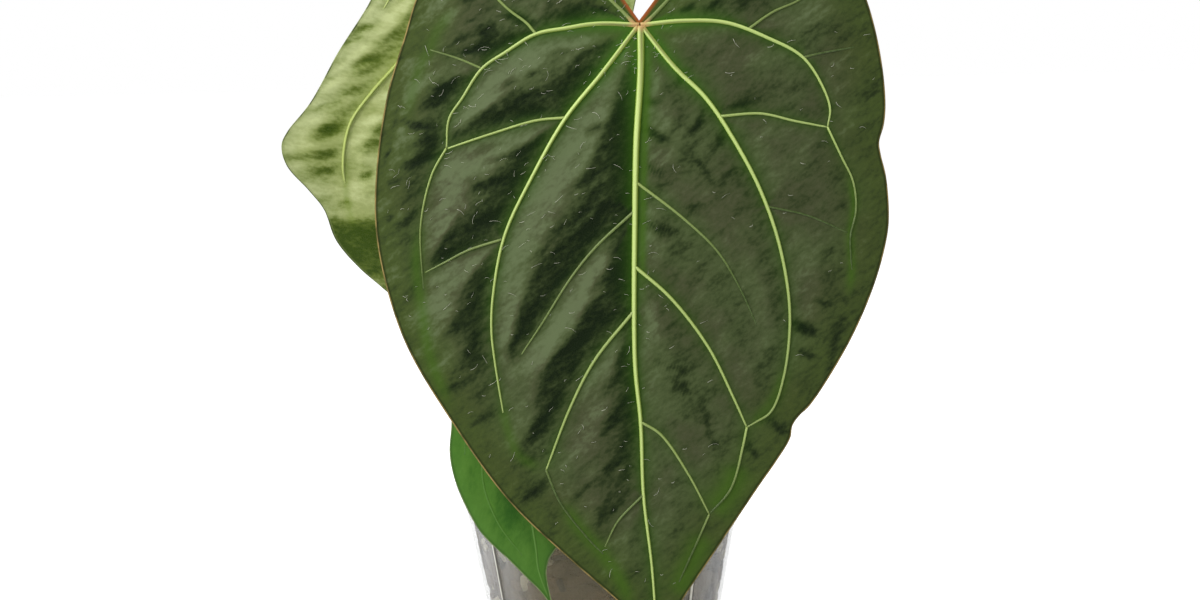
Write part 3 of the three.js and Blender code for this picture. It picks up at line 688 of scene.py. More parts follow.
def outOfLight(leaf, flat):
    # full just past the line where the blade bends away, easing towards the tip
    if "shadeLine" not in leaf:
        return np.zeros(len(flat))
    start, end = (np.array(point) for point in leaf["shadeLine"])
    ahead = unit(end - start)
    past = (flat - start) @ np.array([ahead[1], -ahead[0]])
    eased = leaf["shadeEased"] * smoothStep(*leaf["shadeEasing"], past)
    return smoothStep(*leaf["shadeStart"], past) * (1 - eased)


def flatSheet(name, cells):
    # two square sheets joined round their edge, with a middle line on the rim
    bm = bmesh.new()
    bmesh.ops.create_grid(bm, x_segments=cells, y_segments=cells, size=1)
    copied = bmesh.ops.duplicate(bm, geom=bm.verts[:] + bm.edges[:] + bm.faces[:])["geom"]
    copiedVerts = [g for g in copied if isinstance(g, bmesh.types.BMVert)]
    copiedFaces = [g for g in copied if isinstance(g, bmesh.types.BMFace)]
    bmesh.ops.translate(bm, verts=bm.verts, vec=(0, 0, 1))
    bmesh.ops.translate(bm, verts=copiedVerts, vec=(0, 0, -2))
    bmesh.ops.reverse_faces(bm, faces=copiedFaces)
    edge = [e for e in bm.edges if e.is_boundary]
    bmesh.ops.bridge_loops(bm, edges=edge)
    rim = [e for e in bm.edges if abs(e.verts[0].co.z - e.verts[1].co.z) > 1]
    bmesh.ops.subdivide_edges(bm, edges=rim, cuts=1)
    bmesh.ops.recalc_face_normals(bm, faces=bm.faces)
    return meshOf(bm, name)


def spreadOut(leaf, square):
    # maps the unit square to the leaf: its middle to the hub, its edge to the margin
    a, b = square.T
    reach = np.maximum(np.abs(a), np.abs(b))
    safe = np.where(reach > 0, reach, 1)
    onSides = np.abs(a) >= np.abs(b)
    side = np.where(onSides, np.where(a > 0, 0, 2), np.where(b > 0, 1, 3))
    share = np.where(onSides, np.where(a > 0, b, -b), np.where(b > 0, -a, a)) / safe
    around = ((side + (share + 1) / 2) / 4 - 0.375) % 1
    onLeft = alongCurve(leaf["leftCurve"], np.clip(around * 2, 0, 1))
    onRight = alongCurve(leaf["rightCurve"], np.clip((1 - around) * 2, 0, 1))
    margin = np.where((around <= 0.5)[:, None], onLeft, onRight)
    hub = np.array(leaf["hub"], float)
    spoke = margin - hub
    length = np.linalg.norm(spoke, axis=1)
    rings = leaf["cells"] // 2
    ring = np.rint(reach * rings).astype(int)
    inward = blade["marginRings"]
    fine = len(inward) - 1
    fromMargin = np.interp(rings - ring, range(fine + 1), inward)
    inner = ring <= rings - fine
    distance = np.where(inner, (length - inward[-1]) * ring / (rings - fine), length - fromMargin)
    return hub + spoke / length[:, None] * distance[:, None], unit(spoke)


def makeBlade(leaf, material):
    mesh = flatSheet(leaf["name"] + "Blade", leaf["cells"])
    square = coordinates(mesh)
    side = square[:, 2]
    spots, which = np.unique(np.round(square[:, :2], 6), axis=0, return_inverse=True)
    which = which.ravel()
    flat, outward = spreadOut(leaf, spots)
    height, normal = surface(leaf, flat)
    spot, veinDistance = nearest(leaf["veinTree"], flat)
    _, marginDistance = nearest(leaf["marginTree"], flat)
    width, tone = leaf["veinFacts"][spot].T
    away = veinDistance - width / 2
    fixed, share = blade["glowReach"]
    glow = np.clip(tone, 0, 1) * np.exp(-np.maximum(0, away) / (fixed + share * width))
    values = {
        # the painted light and shade of each point, kept with the blade
        "paintedLight": litShare(leaf, flat),
        "glow": glow,
        "veinAway": away,
        "margin": marginDistance,
        "trace": greenTraces(leaf, flat),
        "notch": np.linalg.norm(flat, axis=1),
    }
    values = {key: value[which] for key, value in values.items()}
    values["side"] = (side + 1) / 2
    flat, outward, height, normal = (part[which] for part in (flat, outward, height, normal))
    place = np.column_stack([flat, height]) + blade["halfThickness"] * side[:, None] * normal
    rim = np.abs(side) < 0.5
    place[rim, :2] += blade["edgeRound"] * outward[rim]
    obj = makeObject(mesh.name, mesh, toWorld(leaf, place), values, material)
    addUv(mesh, flat)
    return obj


def addUv(mesh, flat):
    # the blade's own flat millimetres, a tenth of a metre to the unit
    layer = mesh.uv_layers.new(name="flat")
    corners = np.empty(len(mesh.loops), int)
    mesh.loops.foreach_get("vertex_index", corners)
    layer.uv.foreach_set("vector", (flat[corners] / 100).ravel())


veinSettings = {
    "sides": 18,
    "step": 1.2,
    "slim": 0.9,
    "taperSteps": 6,
    "grooveEnd": 42,
    "grooveDepth": 0.3,
    "grooveWidths": (1.1, 1.7),  # only veins wider than these have the groove
    "groovePlace": 0.22,
    "grooveSpread": 0.25,
    "tipHeight": 0.15,
    "tipWidth": 0.55,
    "shadeGain": 1.8,
}


def makeVeins(leaf, material):
    # every vein is a tapering tube through the blade, raised on both of its faces
    heap = Heap()
    for curve, (_, widths, tones) in zip(leaf["veinCurves"], leaf["veins"]):
        count = max(4, int(lengths(curve)[-1] / veinSettings["step"]))
        shares = np.linspace(0, 1, count + 1)
        flat = alongCurve(curve, shares)
        height, normal = surface(leaf, flat)
        centre = np.column_stack([flat, height])
        ahead = np.gradient(flat, axis=0)
        across = unit(np.column_stack([-ahead[:, 1], ahead[:, 0], np.zeros(len(flat))]))
        toTip = (1 - shares) * count / veinSettings["taperSteps"]
        taper = np.minimum(1, toTip + veinSettings["tipHeight"])
        narrow = veinSettings["tipWidth"] + (1 - veinSettings["tipWidth"]) * taper
        width = veinSettings["slim"] * np.interp(shares, [0, 1], widths) * narrow
        up = blade["halfThickness"] + (leaf["veinFront"][0] + leaf["veinFront"][1] * width) * taper
        down = blade["halfThickness"] + (leaf["veinBack"][0] + leaf["veinBack"][1] * width) * taper
        half = width / 2 / np.sqrt(1 - (blade["halfThickness"] / up) ** 2)
        mesh, ring, corner = tubeTemplate(count, veinSettings["sides"])
        angle = corner * 2 * np.pi / veinSettings["sides"]
        # painted shade: lean marks how far each point of the tube lies on the side turned from a
        # fixed light
        shaded = np.clip(veinSettings["shadeGain"] * across[:, :2] @ leaf["shadeSide"], -1, 1)
        lean = shaded[ring] * np.cos(angle)
        notch = np.linalg.norm(flat, axis=1)
        # a groove runs along the thickest veins near the notch, on their shaded side; its dark colour
        # is painted shade
        groove = smoothStep(veinSettings["grooveEnd"], 4, notch)
        groove = groove * smoothStep(*veinSettings["grooveWidths"], width)
        off = (lean - veinSettings["groovePlace"]) / veinSettings["grooveSpread"]
        groove = groove[ring] * np.exp(-(off**2)) * (np.sin(angle) > 0)
        rise = np.sin(angle) * np.where(np.sin(angle) > 0, up[ring], down[ring])
        rise = rise - veinSettings["grooveDepth"] * groove
        place = (
            centre[ring]
            + across[ring] * (half[ring] * np.cos(angle))[:, None]
            + normal[ring] * rise[:, None]
        )
        heap.add(
            mesh,
            toWorld(leaf, place),
            crest=np.abs(np.sin(angle)),
            lean=lean,
            groove=groove,
            side=(np.sin(angle) > 0).astype(float),
            tone=np.clip(np.interp(shares, [0, 1], tones), 0, 1.2)[ring],
            notch=notch[ring],
        )
    return heap.finish(leaf["name"] + "Veins", material)


def leafMaterial(name, look):
    m = Nodes(name)
    uv = m.coords("UV")
    slanted = m.mapped(uv, turn=(0, 0, -math.radians(look["slant"])))
    pucker = m.noise(m.mapped(slanted, (11, 30, 1)), 1.0, 1.5)
    crinkle = m.noise(m.mapped(slanted, (45, 80, 1)), 1.0, 3.0)
    blotches = m.noise(uv, 4.0, 3.0)
    grain = m.noise(uv, 260.0, 2.0, 0.7)
    margin = m.value("margin")
    reach, share = look["marginReach"], look["pucker"]
    # painted light and shade: the deep, mid, lit and bright tones follow how far each point faces a
    # fixed light, and the puckers and crinkles shift it
    paintedLight = m.math("ADD", m.value("paintedLight"), m.range(pucker, 0.3, 0.7, -share, share))
    paintedLight = m.math("ADD", paintedLight, m.range(crinkle, 0.3, 0.7, -share, share), clamp=True)
    lit = m.mix(m.range(blotches, 0.4, 0.62), look["lit"], look["litOther"])
    outerShare = m.range(margin, reach, 1.0, 0.0, look["marginShare"])
    lit = m.mix(outerShare, lit, look["marginTint"])
    dim = m.mix(m.math("MULTIPLY", paintedLight, 2.2, clamp=True), look["deep"], look["mid"])
    shade = m.mix(m.range(paintedLight, 0.15, 0.75), dim, lit)
    shade = m.mix(m.range(paintedLight, 0.6, 1.0, 0.0, look["brightShare"]), shade, look["bright"])
    grained = m.mix(m.range(grain, 0.3, 0.7, 0.0, look["grain"]), shade, look["speck"])
    notch = m.value("notch")
    glowTint = m.mix(m.range(notch, 45.0, 6.0), look["glow"], look["glowNear"])
    green = m.mix(m.math("MULTIPLY", m.value("glow"), look["glowShare"]), grained, glowTint)
    green = m.mix(m.value("trace"), green, look["traceTint"])
    inner = m.range(margin, 1.3, 0.6, 0.0, look["innerShare"])
    edged = m.mix(inner, green, look["edgeInner"])
    worn = m.range(m.noise(uv, 14.0, 3.0), 0.35, 0.6, 0.3, 1.0)
    outer = m.math("MULTIPLY", m.range(margin, 0.45, 0.15, 0.0, look["edgeShare"]), worn)
    edged = m.mix(outer, edged, look["edge"])
    blush = m.math("MULTIPLY", m.range(notch, 26.0, 2.0), m.range(margin, 1.7, 0.4))
    blushed = m.mix(m.math("MULTIPLY", blush, look["blushShare"]), edged, look["blush"])
    # the other face of the blade
    under = m.mix(m.range(blotches, 0.3, 0.7), look["under"], look["underOther"])
    under = m.mix(m.range(m.value("veinAway"), 2.2, 0.2, 0.0, 0.7), under, look["underVein"])
    side = m.range(m.value("side"), 0.35, 0.6)
    return m.set(
        Base_Color=m.mix(side, under, blushed),
        Roughness=look["roughness"],
        Specular_IOR_Level=look["specular"],
        Normal=m.bump(
            m.math("ADD", m.math("MULTIPLY", crinkle, look["puckerBump"]), grain),
            look["bump"],
            0.0004,
        ),
    )


def veinMaterial(name, look):
    m = Nodes(name)
    # a paler crest along each vein's top: partly the vein's own paler colour, partly a painted
    # highlight
    crest = m.range(m.value("crest"), 0.45, 0.97)
    tone = m.value("tone")
    bright = m.mix(tone, look["faint"], look["bright"])
    rim = m.mix(tone, look["faintRim"], look["rim"])
    body = m.mix(crest, rim, bright)
    fibre = m.noise(m.coords(), 900.0, 3.0)
    body = m.mix(m.range(fibre, 0.3, 0.7, 0.0, look["fibreShare"]), body, look["fibre"])
    # painted shade on the side of the vein turned from the light
    shaded = m.math("MULTIPLY", m.range(m.value("lean"), 0.05, 0.7, 0.0, look["shadeShare"]), tone)
    body = m.mix(shaded, body, look["shade"])
    # painted shade in the groove
    body = m.mix(m.math("MULTIPLY", m.value("groove"), look["grooveShare"]), body, look["groove"])
    blush = m.range(m.value("notch"), 5.0, 1.5, 0.0, look["blushShare"])
    body = m.mix(blush, body, look["blush"])
    return m.set(
        Base_Color=m.mix(m.value("side"), look["under"], body),
        Roughness=look["roughness"],
        Specular_IOR_Level=0.3,
        Normal=m.bump(fibre, 0.3, 0.0003),
    )


frontLook = {
    "slant": 38,
    "pucker": 0.1,
    # lit, bright, mid and deep are the tones of the painted light and shade; bright is a painted
    # highlight
    "lit": (0.073, 0.098, 0.036),
    "litOther": (0.066, 0.073, 0.033),
    "bright": (0.135, 0.175, 0.082),
    "brightShare": 0.7,
    "mid": (0.031, 0.048, 0.012),
    "deep": (0.003, 0.009, 0.001),
    "marginTint": (0.050, 0.078, 0.011),
    "marginReach": 26.0,
    "marginShare": 0.8,
    "speck": (0.10, 0.12, 0.08),
    "grain": 0.10,
    "glow": (0.022, 0.072, 0.002),
    "glowNear": (0.045, 0.14, 0.010),
    "glowShare": 0.85,
    "traceTint": (0.050, 0.115, 0.010),
    "edgeInner": (0.010, 0.014, 0.003),
    "innerShare": 0.6,
    "edge": (0.36, 0.26, 0.09),
    "edgeShare": 0.85,
    "blush": (0.34, 0.09, 0.025),
    "blushShare": 0.85,
    "under": (0.17, 0.26, 0.09),
    "underOther": (0.13, 0.21, 0.065),
    "underVein": (0.30, 0.40, 0.13),
    "roughness": 0.6,
    "specular": 0.05,
    "puckerBump": 1.5,
    "bump": 0.25,
}
frontVeinLook = {
    # bright is the crest: the vein's own pale lime with a painted highlight
    "bright": (0.60, 0.74, 0.24),
    "faint": (0.045, 0.080, 0.011),
    "rim": (0.19, 0.32, 0.018),
    "faintRim": (0.035, 0.065, 0.012),
    "fibre": (0.60, 0.72, 0.36),
    "fibreShare": 0.06,
    # the colour of the painted shade on the vein's far side from the light
    "shade": (0.17, 0.25, 0.02),
    "shadeShare": 0.85,
    # the groove's painted shade
    "groove": (0.10, 0.09, 0.015),
    "grooveShare": 0.85,
    "blush": (0.62, 0.32, 0.14),
    "blushShare": 0.8,
    "under": (0.30, 0.42, 0.14),
    "roughness": 0.42,
}
backLook = dict(
    frontLook,
    slant=14,
    pucker=0.07,
    # lit, bright, mid and deep: the tones of the painted light and shade
    lit=(0.53, 0.59, 0.25),
    litOther=(0.47, 0.53, 0.20),
    bright=(0.72, 0.78, 0.39),
    brightShare=0.8,
    mid=(0.21, 0.28, 0.045),
    deep=(0.038, 0.078, 0.0),
    marginTint=(0.60, 0.66, 0.36),
    marginReach=12.0,
    marginShare=0.4,
    speck=(0.36, 0.41, 0.22),
    glow=(0.34, 0.44, 0.06),
    glowNear=(0.34, 0.44, 0.06),
    glowShare=0.6,
    traceTint=(0.20, 0.30, 0.03),
    edgeInner=(0.30, 0.36, 0.14),
    innerShare=0.3,
    edge=(0.03, 0.05, 0.015),
    edgeShare=0.85,
    blushShare=0.5,
    under=(0.035, 0.06, 0.03),
    underOther=(0.05, 0.075, 0.04),
    underVein=(0.20, 0.36, 0.07),
    roughness=0.5,
    specular=0.03,
    bump=0.3,
)
backVeinLook = dict(
    frontVeinLook,
    bright=(0.35, 0.44, 0.06),
    faint=(0.46, 0.54, 0.17),
    rim=(0.37, 0.46, 0.07),
    faintRim=(0.46, 0.54, 0.17),
    fibre=(0.42, 0.50, 0.12),
    # painted shade on the side turned from the light
    shade=(0.30, 0.39, 0.05),
    shadeShare=0.4,
    grooveShare=0.0,
    under=(0.35, 0.52, 0.15),
)
youngLook = dict(
    frontLook,
    slant=55,
    pucker=0.06,
    # lit, bright, mid and deep: the tones of the painted light and shade
    lit=(0.080, 0.195, 0.022),
    litOther=(0.066, 0.17, 0.016),
    bright=(0.14, 0.27, 0.055),
    brightShare=0.6,
    mid=(0.040, 0.13, 0.008),
    deep=(0.010, 0.070, 0.001),
    marginTint=(0.055, 0.165, 0.015),
    marginReach=6.0,
    marginShare=0.5,
    speck=(0.10, 0.22, 0.05),
    glow=(0.05, 0.16, 0.012),
    glowNear=(0.05, 0.16, 0.012),
    traceTint=(0.08, 0.20, 0.02),
    edgeInner=(0.03, 0.09, 0.01),
    edge=(0.26, 0.30, 0.14),
    edgeShare=0.7,
    blushShare=0.2,
    under=(0.16, 0.30, 0.08),
    underOther=(0.13, 0.25, 0.06),
    roughness=0.38,
    specular=0.2,
    puckerBump=1.0,
    bump=0.15,
)
youngVeinLook = dict(
    frontVeinLook,
    # a paler crest, partly a painted highlight
    bright=(0.11, 0.24, 0.035),
    faint=(0.05, 0.145, 0.010),
    rim=(0.06, 0.17, 0.014),
    faintRim=(0.045, 0.14, 0.014),
    fibre=(0.18, 0.33, 0.10),
    # painted shade on the side turned from the light
    shade=(0.04, 0.14, 0.012),
    grooveShare=0.0,
    blushShare=0.2,
)

leafLooks = {
    "front": (frontLeaf, frontLook, frontVeinLook, "blade_velvet", "vein_lime"),
    "back": (backLeaf, backLook, backVeinLook, "blade_underside", "vein_underside"),
    "young": (youngLeaf, youngLook, youngVeinLook, "blade_young", "vein_young"),
}
for name, (leaf, bladeLook, veinLook, bladeSlot, veinSlot) in leafLooks.items():
    prepareLeaf(leaf)
    dress(makeBlade(leaf, leafMaterial("blade_" + name, bladeLook)), bladeSlot, "leaf_" + name)
    dress(makeVeins(leaf, veinMaterial("veins_" + name, veinLook)), veinSlot, "veins_" + name)


# Stalks: from the stem's sockets up to the blades, each with a thicker knee at its end

stalk = {
    "radius": 2.3,
    "footRadius": 2.5,
    "kneeRadius": 3.1,
    "kneeLength": 15,
    "sides": 28,
    "rings": 130,
    "footFade": 60,
    "kneeStraight": 9,  # the path's last stretch, square to the blade
    "routes": {
        "front": [(3, -4, 106), (4, -7, 150), (8, -20, 215), (14, -42, 265)],
        "back": [(-3, 4, 106), (-5, 8, 160), (-11, 17, 235), (-20, 26, 290)],
        "young": [(-4, -2.5, 106), (-10, -12, 132), (-22, -35, 153)],
    },
}


def stalkMaterial():
    m = Nodes("stalk")
    place = m.coords()
    lines = m.noise(m.mapped(place, (900, 900, 30)), 1.0, 3.0)
    blotches = m.noise(place, 120.0, 4.0)
    specks = m.noise(place, 1400.0, 1.0)
    green = m.mix(m.range(lines, 0.3, 0.7), (0.12, 0.22, 0.04), (0.21, 0.33, 0.08))
    knee = m.mix(m.value("knee"), green, (0.26, 0.34, 0.10))
    brown = m.mix(m.range(blotches, 0.45, 0.75, 0.0, 0.5), knee, (0.16, 0.13, 0.05))
    spotted = m.mix(m.range(specks, 0.62, 0.7, 0.0, 0.4), brown, (0.40, 0.46, 0.22))
    return m.set(
        Base_Color=spotted,
        Roughness=0.42,
        Normal=m.bump(m.math("ADD", lines, blotches), 0.35, 0.0005),
    )


def stalkPath(leaf):
    foot, footNormal = surface(leaf, np.array([[0.0, -5.0]]))
    base = np.array([0, -5, foot[0]])
    outward = footNormal[0] * leaf["stalkSide"]
    matrix = leafMatrix(leaf)
    route = list(stalk["routes"][leaf["name"]])
    for distance in (blade["halfThickness"] + leaf["standOff"] + stalk["kneeStraight"], 0.3):
        route.append(matrix[:3, :3] @ (base + outward * distance) + matrix[:3, 3])
    return alongCurve(smoothCurve(route, 60), np.linspace(0, 1, stalk["rings"] + 1))


def makeStalk(leaf, material):
    path = stalkPath(leaf)
    travelled = lengths(path)
    toEnd = travelled[-1] - travelled
    knee = smoothStep(stalk["kneeLength"], stalk["kneeLength"] * 0.6, toEnd)
    foot = 1 - smoothStep(0, stalk["footFade"], travelled)
    radius = stalk["radius"] + (stalk["kneeRadius"] - stalk["radius"]) * knee
    radius = radius + (stalk["footRadius"] - stalk["radius"]) * foot
    radius = radius + 0.06 * knee * np.sin(toEnd * 2.4)  # fine creases round the knee
    radius = radius * (1 - 0.55 * smoothStep(1.2, 0, toEnd))
    template, place, ring = tubeAlong(path, radius, stalk["sides"])
    heap = Heap()
    heap.add(template, place * mm, knee=knee[ring])
    return heap.finish(leaf["name"] + "Stalk", material)


stalkFinish = stalkMaterial()
for leaf, *_ in leafLooks.values():
    dress(makeStalk(leaf, stalkFinish), "stalk", "stalk_" + leaf["name"])


# Pot: a clear tapered shell with four upright ribs, a rim band and drainage holes

pot = {
    "height": 112,
    "footRadius": 39.3,
    "neckRadius": 57.8,
    "rimRadius": 59.3,
    "rimHeight": 5,
    "wall": 1.2,
    "floor": 2,
    "steps": 160,
    "ribTurns": (-139.5, -49.5, 40.5, 130.5),
    "ribWidth": 1.8,
    "ribDepth": 1.6,
    "ribMargin": 4,
    "ribStandsOut": 0.3,
    "drainHoles": 8,
    "drainRadius": 4,
    "drainCircle": 26,
}


def innerRadius(height):
    taper = (pot["neckRadius"] - pot["footRadius"]) / (pot["height"] - pot["rimHeight"])
    return pot["footRadius"] + taper * height - pot["wall"]


def spun(profile, steps):
    # a body turned about +Z from (radius, height) points that start and end on the axis
    bm = bmesh.new()
    verts = [bm.verts.new((radius * mm, 0, height * mm)) for radius, height in profile]
    edges = [bm.edges.new(pair) for pair in zip(verts, verts[1:])]
    bmesh.ops.spin(
        bm, geom=verts + edges, cent=(0, 0, 0), axis=(0, 0, 1), angle=2 * math.pi,
        steps=steps, use_merge=True,
    )
    bmesh.ops.remove_doubles(bm, verts=bm.verts, dist=1e-6)
    bmesh.ops.recalc_face_normals(bm, faces=bm.faces)
    return bm


def combined(mesh, other, operation):
    # one Boolean between two meshes, applied
    holder, tool = linked("holder", mesh), linked("tool", other)
    modifier = holder.modifiers.new("cut", "BOOLEAN")
    modifier.operation = operation
    modifier.solver = "EXACT"
    modifier.object = tool
    shaped = holder.evaluated_get(bpy.context.evaluated_depsgraph_get())
    result = bpy.data.meshes.new_from_object(shaped)
    bpy.data.objects.remove(holder)
    bpy.data.objects.remove(tool)
    return result


def potRibs():
    underRim = pot["height"] - pot["rimHeight"]
    slant = math.atan2(pot["neckRadius"] - pot["footRadius"], underRim)
    length = (underRim - 2 * pot["ribMargin"]) / math.cos(slant)
    middle = (pot["footRadius"] + pot["neckRadius"]) / 2
    bm = bmesh.new()
    bmesh.ops.create_cube(bm, size=mm)
    bmesh.ops.scale(bm, verts=bm.verts, vec=(pot["ribDepth"], pot["ribWidth"], length))
    bmesh.ops.bevel(
        bm, geom=bm.edges, offset=0.4 * mm, affect="EDGES", segments=2, profile=0.5, material=-1,
    )
    bmesh.ops.transform(bm, matrix=Matrix.Rotation(slant, 4, "Y"), verts=bm.verts)
    bmesh.ops.translate(bm, vec=(middle * mm, 0, underRim / 2 * mm), verts=bm.verts)
    rib = meshOf(bm, "rib")
    bm = bmesh.new()
    for turn in pot["ribTurns"]:
        rib.transform(Matrix.Rotation(math.radians(turn), 4, "Z"))
        bm.from_mesh(rib)
        rib.transform(Matrix.Rotation(math.radians(-turn), 4, "Z"))
    return meshOf(bm, "ribs")


def potDrains():
    bm = bmesh.new()
    for hole in range(pot["drainHoles"]):
        angle = (hole + 0.5) / pot["drainHoles"] * 2 * math.pi
        circle = pot["drainCircle"] * mm
        bmesh.ops.create_cone(
            bm, cap_ends=True, segments=32, radius1=pot["drainRadius"] * mm,
            radius2=pot["drainRadius"] * mm, depth=4 * pot["floor"] * mm,
            matrix=Matrix.Translation((circle * math.cos(angle), circle * math.sin(angle), 0)),
        )
    return meshOf(bm, "drains")


def plasticMaterial():
    m = Nodes("clearPlastic")
    place = m.coords()
    streaks = m.noise(m.mapped(place, (500, 500, 9)), 1.0, 2.0)
    mist = m.noise(place, 40.0, 4.0)
    haze = m.mix(m.range(streaks, 0.35, 0.65), (0.52, 0.54, 0.55), (0.93, 0.94, 0.95))
    haze = m.mix(m.range(mist, 0.35, 0.65, 0.0, 0.4), haze, (0.72, 0.73, 0.73))
    # painted reflection: brown across the front and back, the pale haze kept only towards the sides,
    # where walls seen edge-on look paler
    sideways = m.math("ABSOLUTE", m.add("ShaderNodeSeparateXYZ", {0: place}).outputs["X"])
    frontBackBrown = m.mix(mist, (0.09, 0.075, 0.04), (0.34, 0.30, 0.20))
    haze = m.mix(m.range(sideways, 0.050, 0.020), haze, frontBackBrown)
    m.material.surface_render_method = "BLENDED"
    return m.set(
        Base_Color=haze,
        Roughness=0.12,
        Alpha=0.27,
        IOR=1.49,
        Normal=m.bump(streaks, 0.15, 0.0004),
    )


def ribMaterial():
    # the ribs gather the light on one side and darken on the other
    m = Nodes("ribPlastic")
    m.material.surface_render_method = "BLENDED"
    shaded = m.range(m.value("across"), 0.35, 0.6)
    return m.set(
        Base_Color=m.mix(shaded, (0.88, 0.86, 0.76), (0.10, 0.09, 0.07)),
        Roughness=0.15,
        Alpha=0.7,
        IOR=1.49,
    )


def makePot():
    underRim = pot["height"] - pot["rimHeight"]
    top, rim, neck = pot["height"], pot["rimRadius"], pot["neckRadius"]
    mouth, floor = innerRadius(underRim), pot["floor"]
    profile = [
        (0, 0), (36.8, 0), (37.8, 0.12), (38.7, 0.6), (39.25, 1.5), (39.5, 3),
        (neck, underRim), (neck + 1.1, underRim + 0.1), (rim, underRim + 0.6), (rim, top - 1),
        (rim - 0.2, top - 0.4), (rim - 0.8, top), (mouth + 1, top), (mouth + 0.5, top - 0.3),
        (mouth + 0.3, top - 0.8), (mouth, underRim), (innerRadius(3) + 0.1, 3),
        (37.4, floor + 0.3), (36.6, floor), (0, floor),
    ]
    shell = meshOf(spun(profile, pot["steps"]), "shell")
    ribbed = combined(shell, potRibs(), "UNION")
    drained = combined(ribbed, potDrains(), "DIFFERENCE")
    drained.name = "pot"
    place = coordinates(drained) / mm
    # how far each point lies across the nearest rib, a half at its middle
    turn = np.degrees(np.arctan2(place[:, 1], place[:, 0]))[:, None] - np.array(pot["ribTurns"])
    nearestRib = turn[np.arange(len(turn)), np.abs(turn).argmin(axis=1)]
    across = 0.5 + np.radians(nearestRib) * np.hypot(*place[:, :2].T) / pot["ribWidth"]
    obj = makeObject("clearPot", drained, None, {"across": across}, plasticMaterial())
    drained.materials.append(ribMaterial())
    for face in drained.polygons:
        x, y, z = face.center / mm
        beyond = math.hypot(x, y) - innerRadius(z) - pot["wall"]
        if beyond > pot["ribStandsOut"] and z < underRim - pot["ribMargin"] / 2:
            face.material_index = 1
    drained.set_sharp_from_angle(angle=math.radians(32))
    return obj


dress(makePot(), "clear_plastic", "pot")


# Growing medium: chips of bark, char and pumice, packed against the pot round one core

medium = {
    "top": 95,
    "coreGap": 2.6,
    "coreLumps": 0.7,
    "wallGap": 1.4,
    "wallChunks": 900,
    "topChunks": 260,
    "smallest": 2.2,
    "largest": 5.2,
    "stemRoom": 12,
    "rimRoom": 4,
    "steps": 60,
    "seed": 11,
    "stretch": ((0.9, 1.5), (0.6, 1), (0.45, 0.8)),
    "charFrom": 0.55,  # a chip's kind runs from 0 to 1: bark, char, moss, pumice
    "mossFrom": 0.70,
    "pumiceFrom": 0.84,
}


def mediumMaterial():
    m = Nodes("medium")
    place = m.coords()
    kind, tint = m.value("kind"), m.value("tint")
    fibre = m.noise(place, 420.0, 5.0, 0.65)
    pits = m.noise(place, 1500.0, 2.0)
    bark = m.mix(fibre, (0.08, 0.048, 0.022), (0.26, 0.17, 0.08))
    bark = m.mix(tint, bark, (0.17, 0.13, 0.07))
    char = m.mix(fibre, (0.05, 0.038, 0.022), (0.11, 0.09, 0.06))
    pumice = m.mix(pits, (0.40, 0.35, 0.22), (0.68, 0.62, 0.42))
    moss = m.mix(fibre, (0.14, 0.10, 0.04), (0.32, 0.25, 0.11))
    mixed = bark
    for start, finish in (("charFrom", char), ("mossFrom", moss), ("pumiceFrom", pumice)):
        mixed = m.mix(m.range(kind, medium[start], medium[start] + 0.01), mixed, finish)
    return m.set(
        Base_Color=mixed,
        Roughness=0.9,
        Normal=m.bump(m.math("ADD", fibre, pits), 0.8, 0.0012),
    )


def chunkTemplate(rounded):
    bm = bmesh.new()
    if rounded:
        bmesh.ops.create_icosphere(bm, subdivisions=1, radius=1)
    else:
        bmesh.ops.create_cube(bm, size=1.5)
        bmesh.ops.subdivide_edges(bm, edges=bm.edges, cuts=1, use_grid_fill=True)
    return meshOf(bm, "chunk")


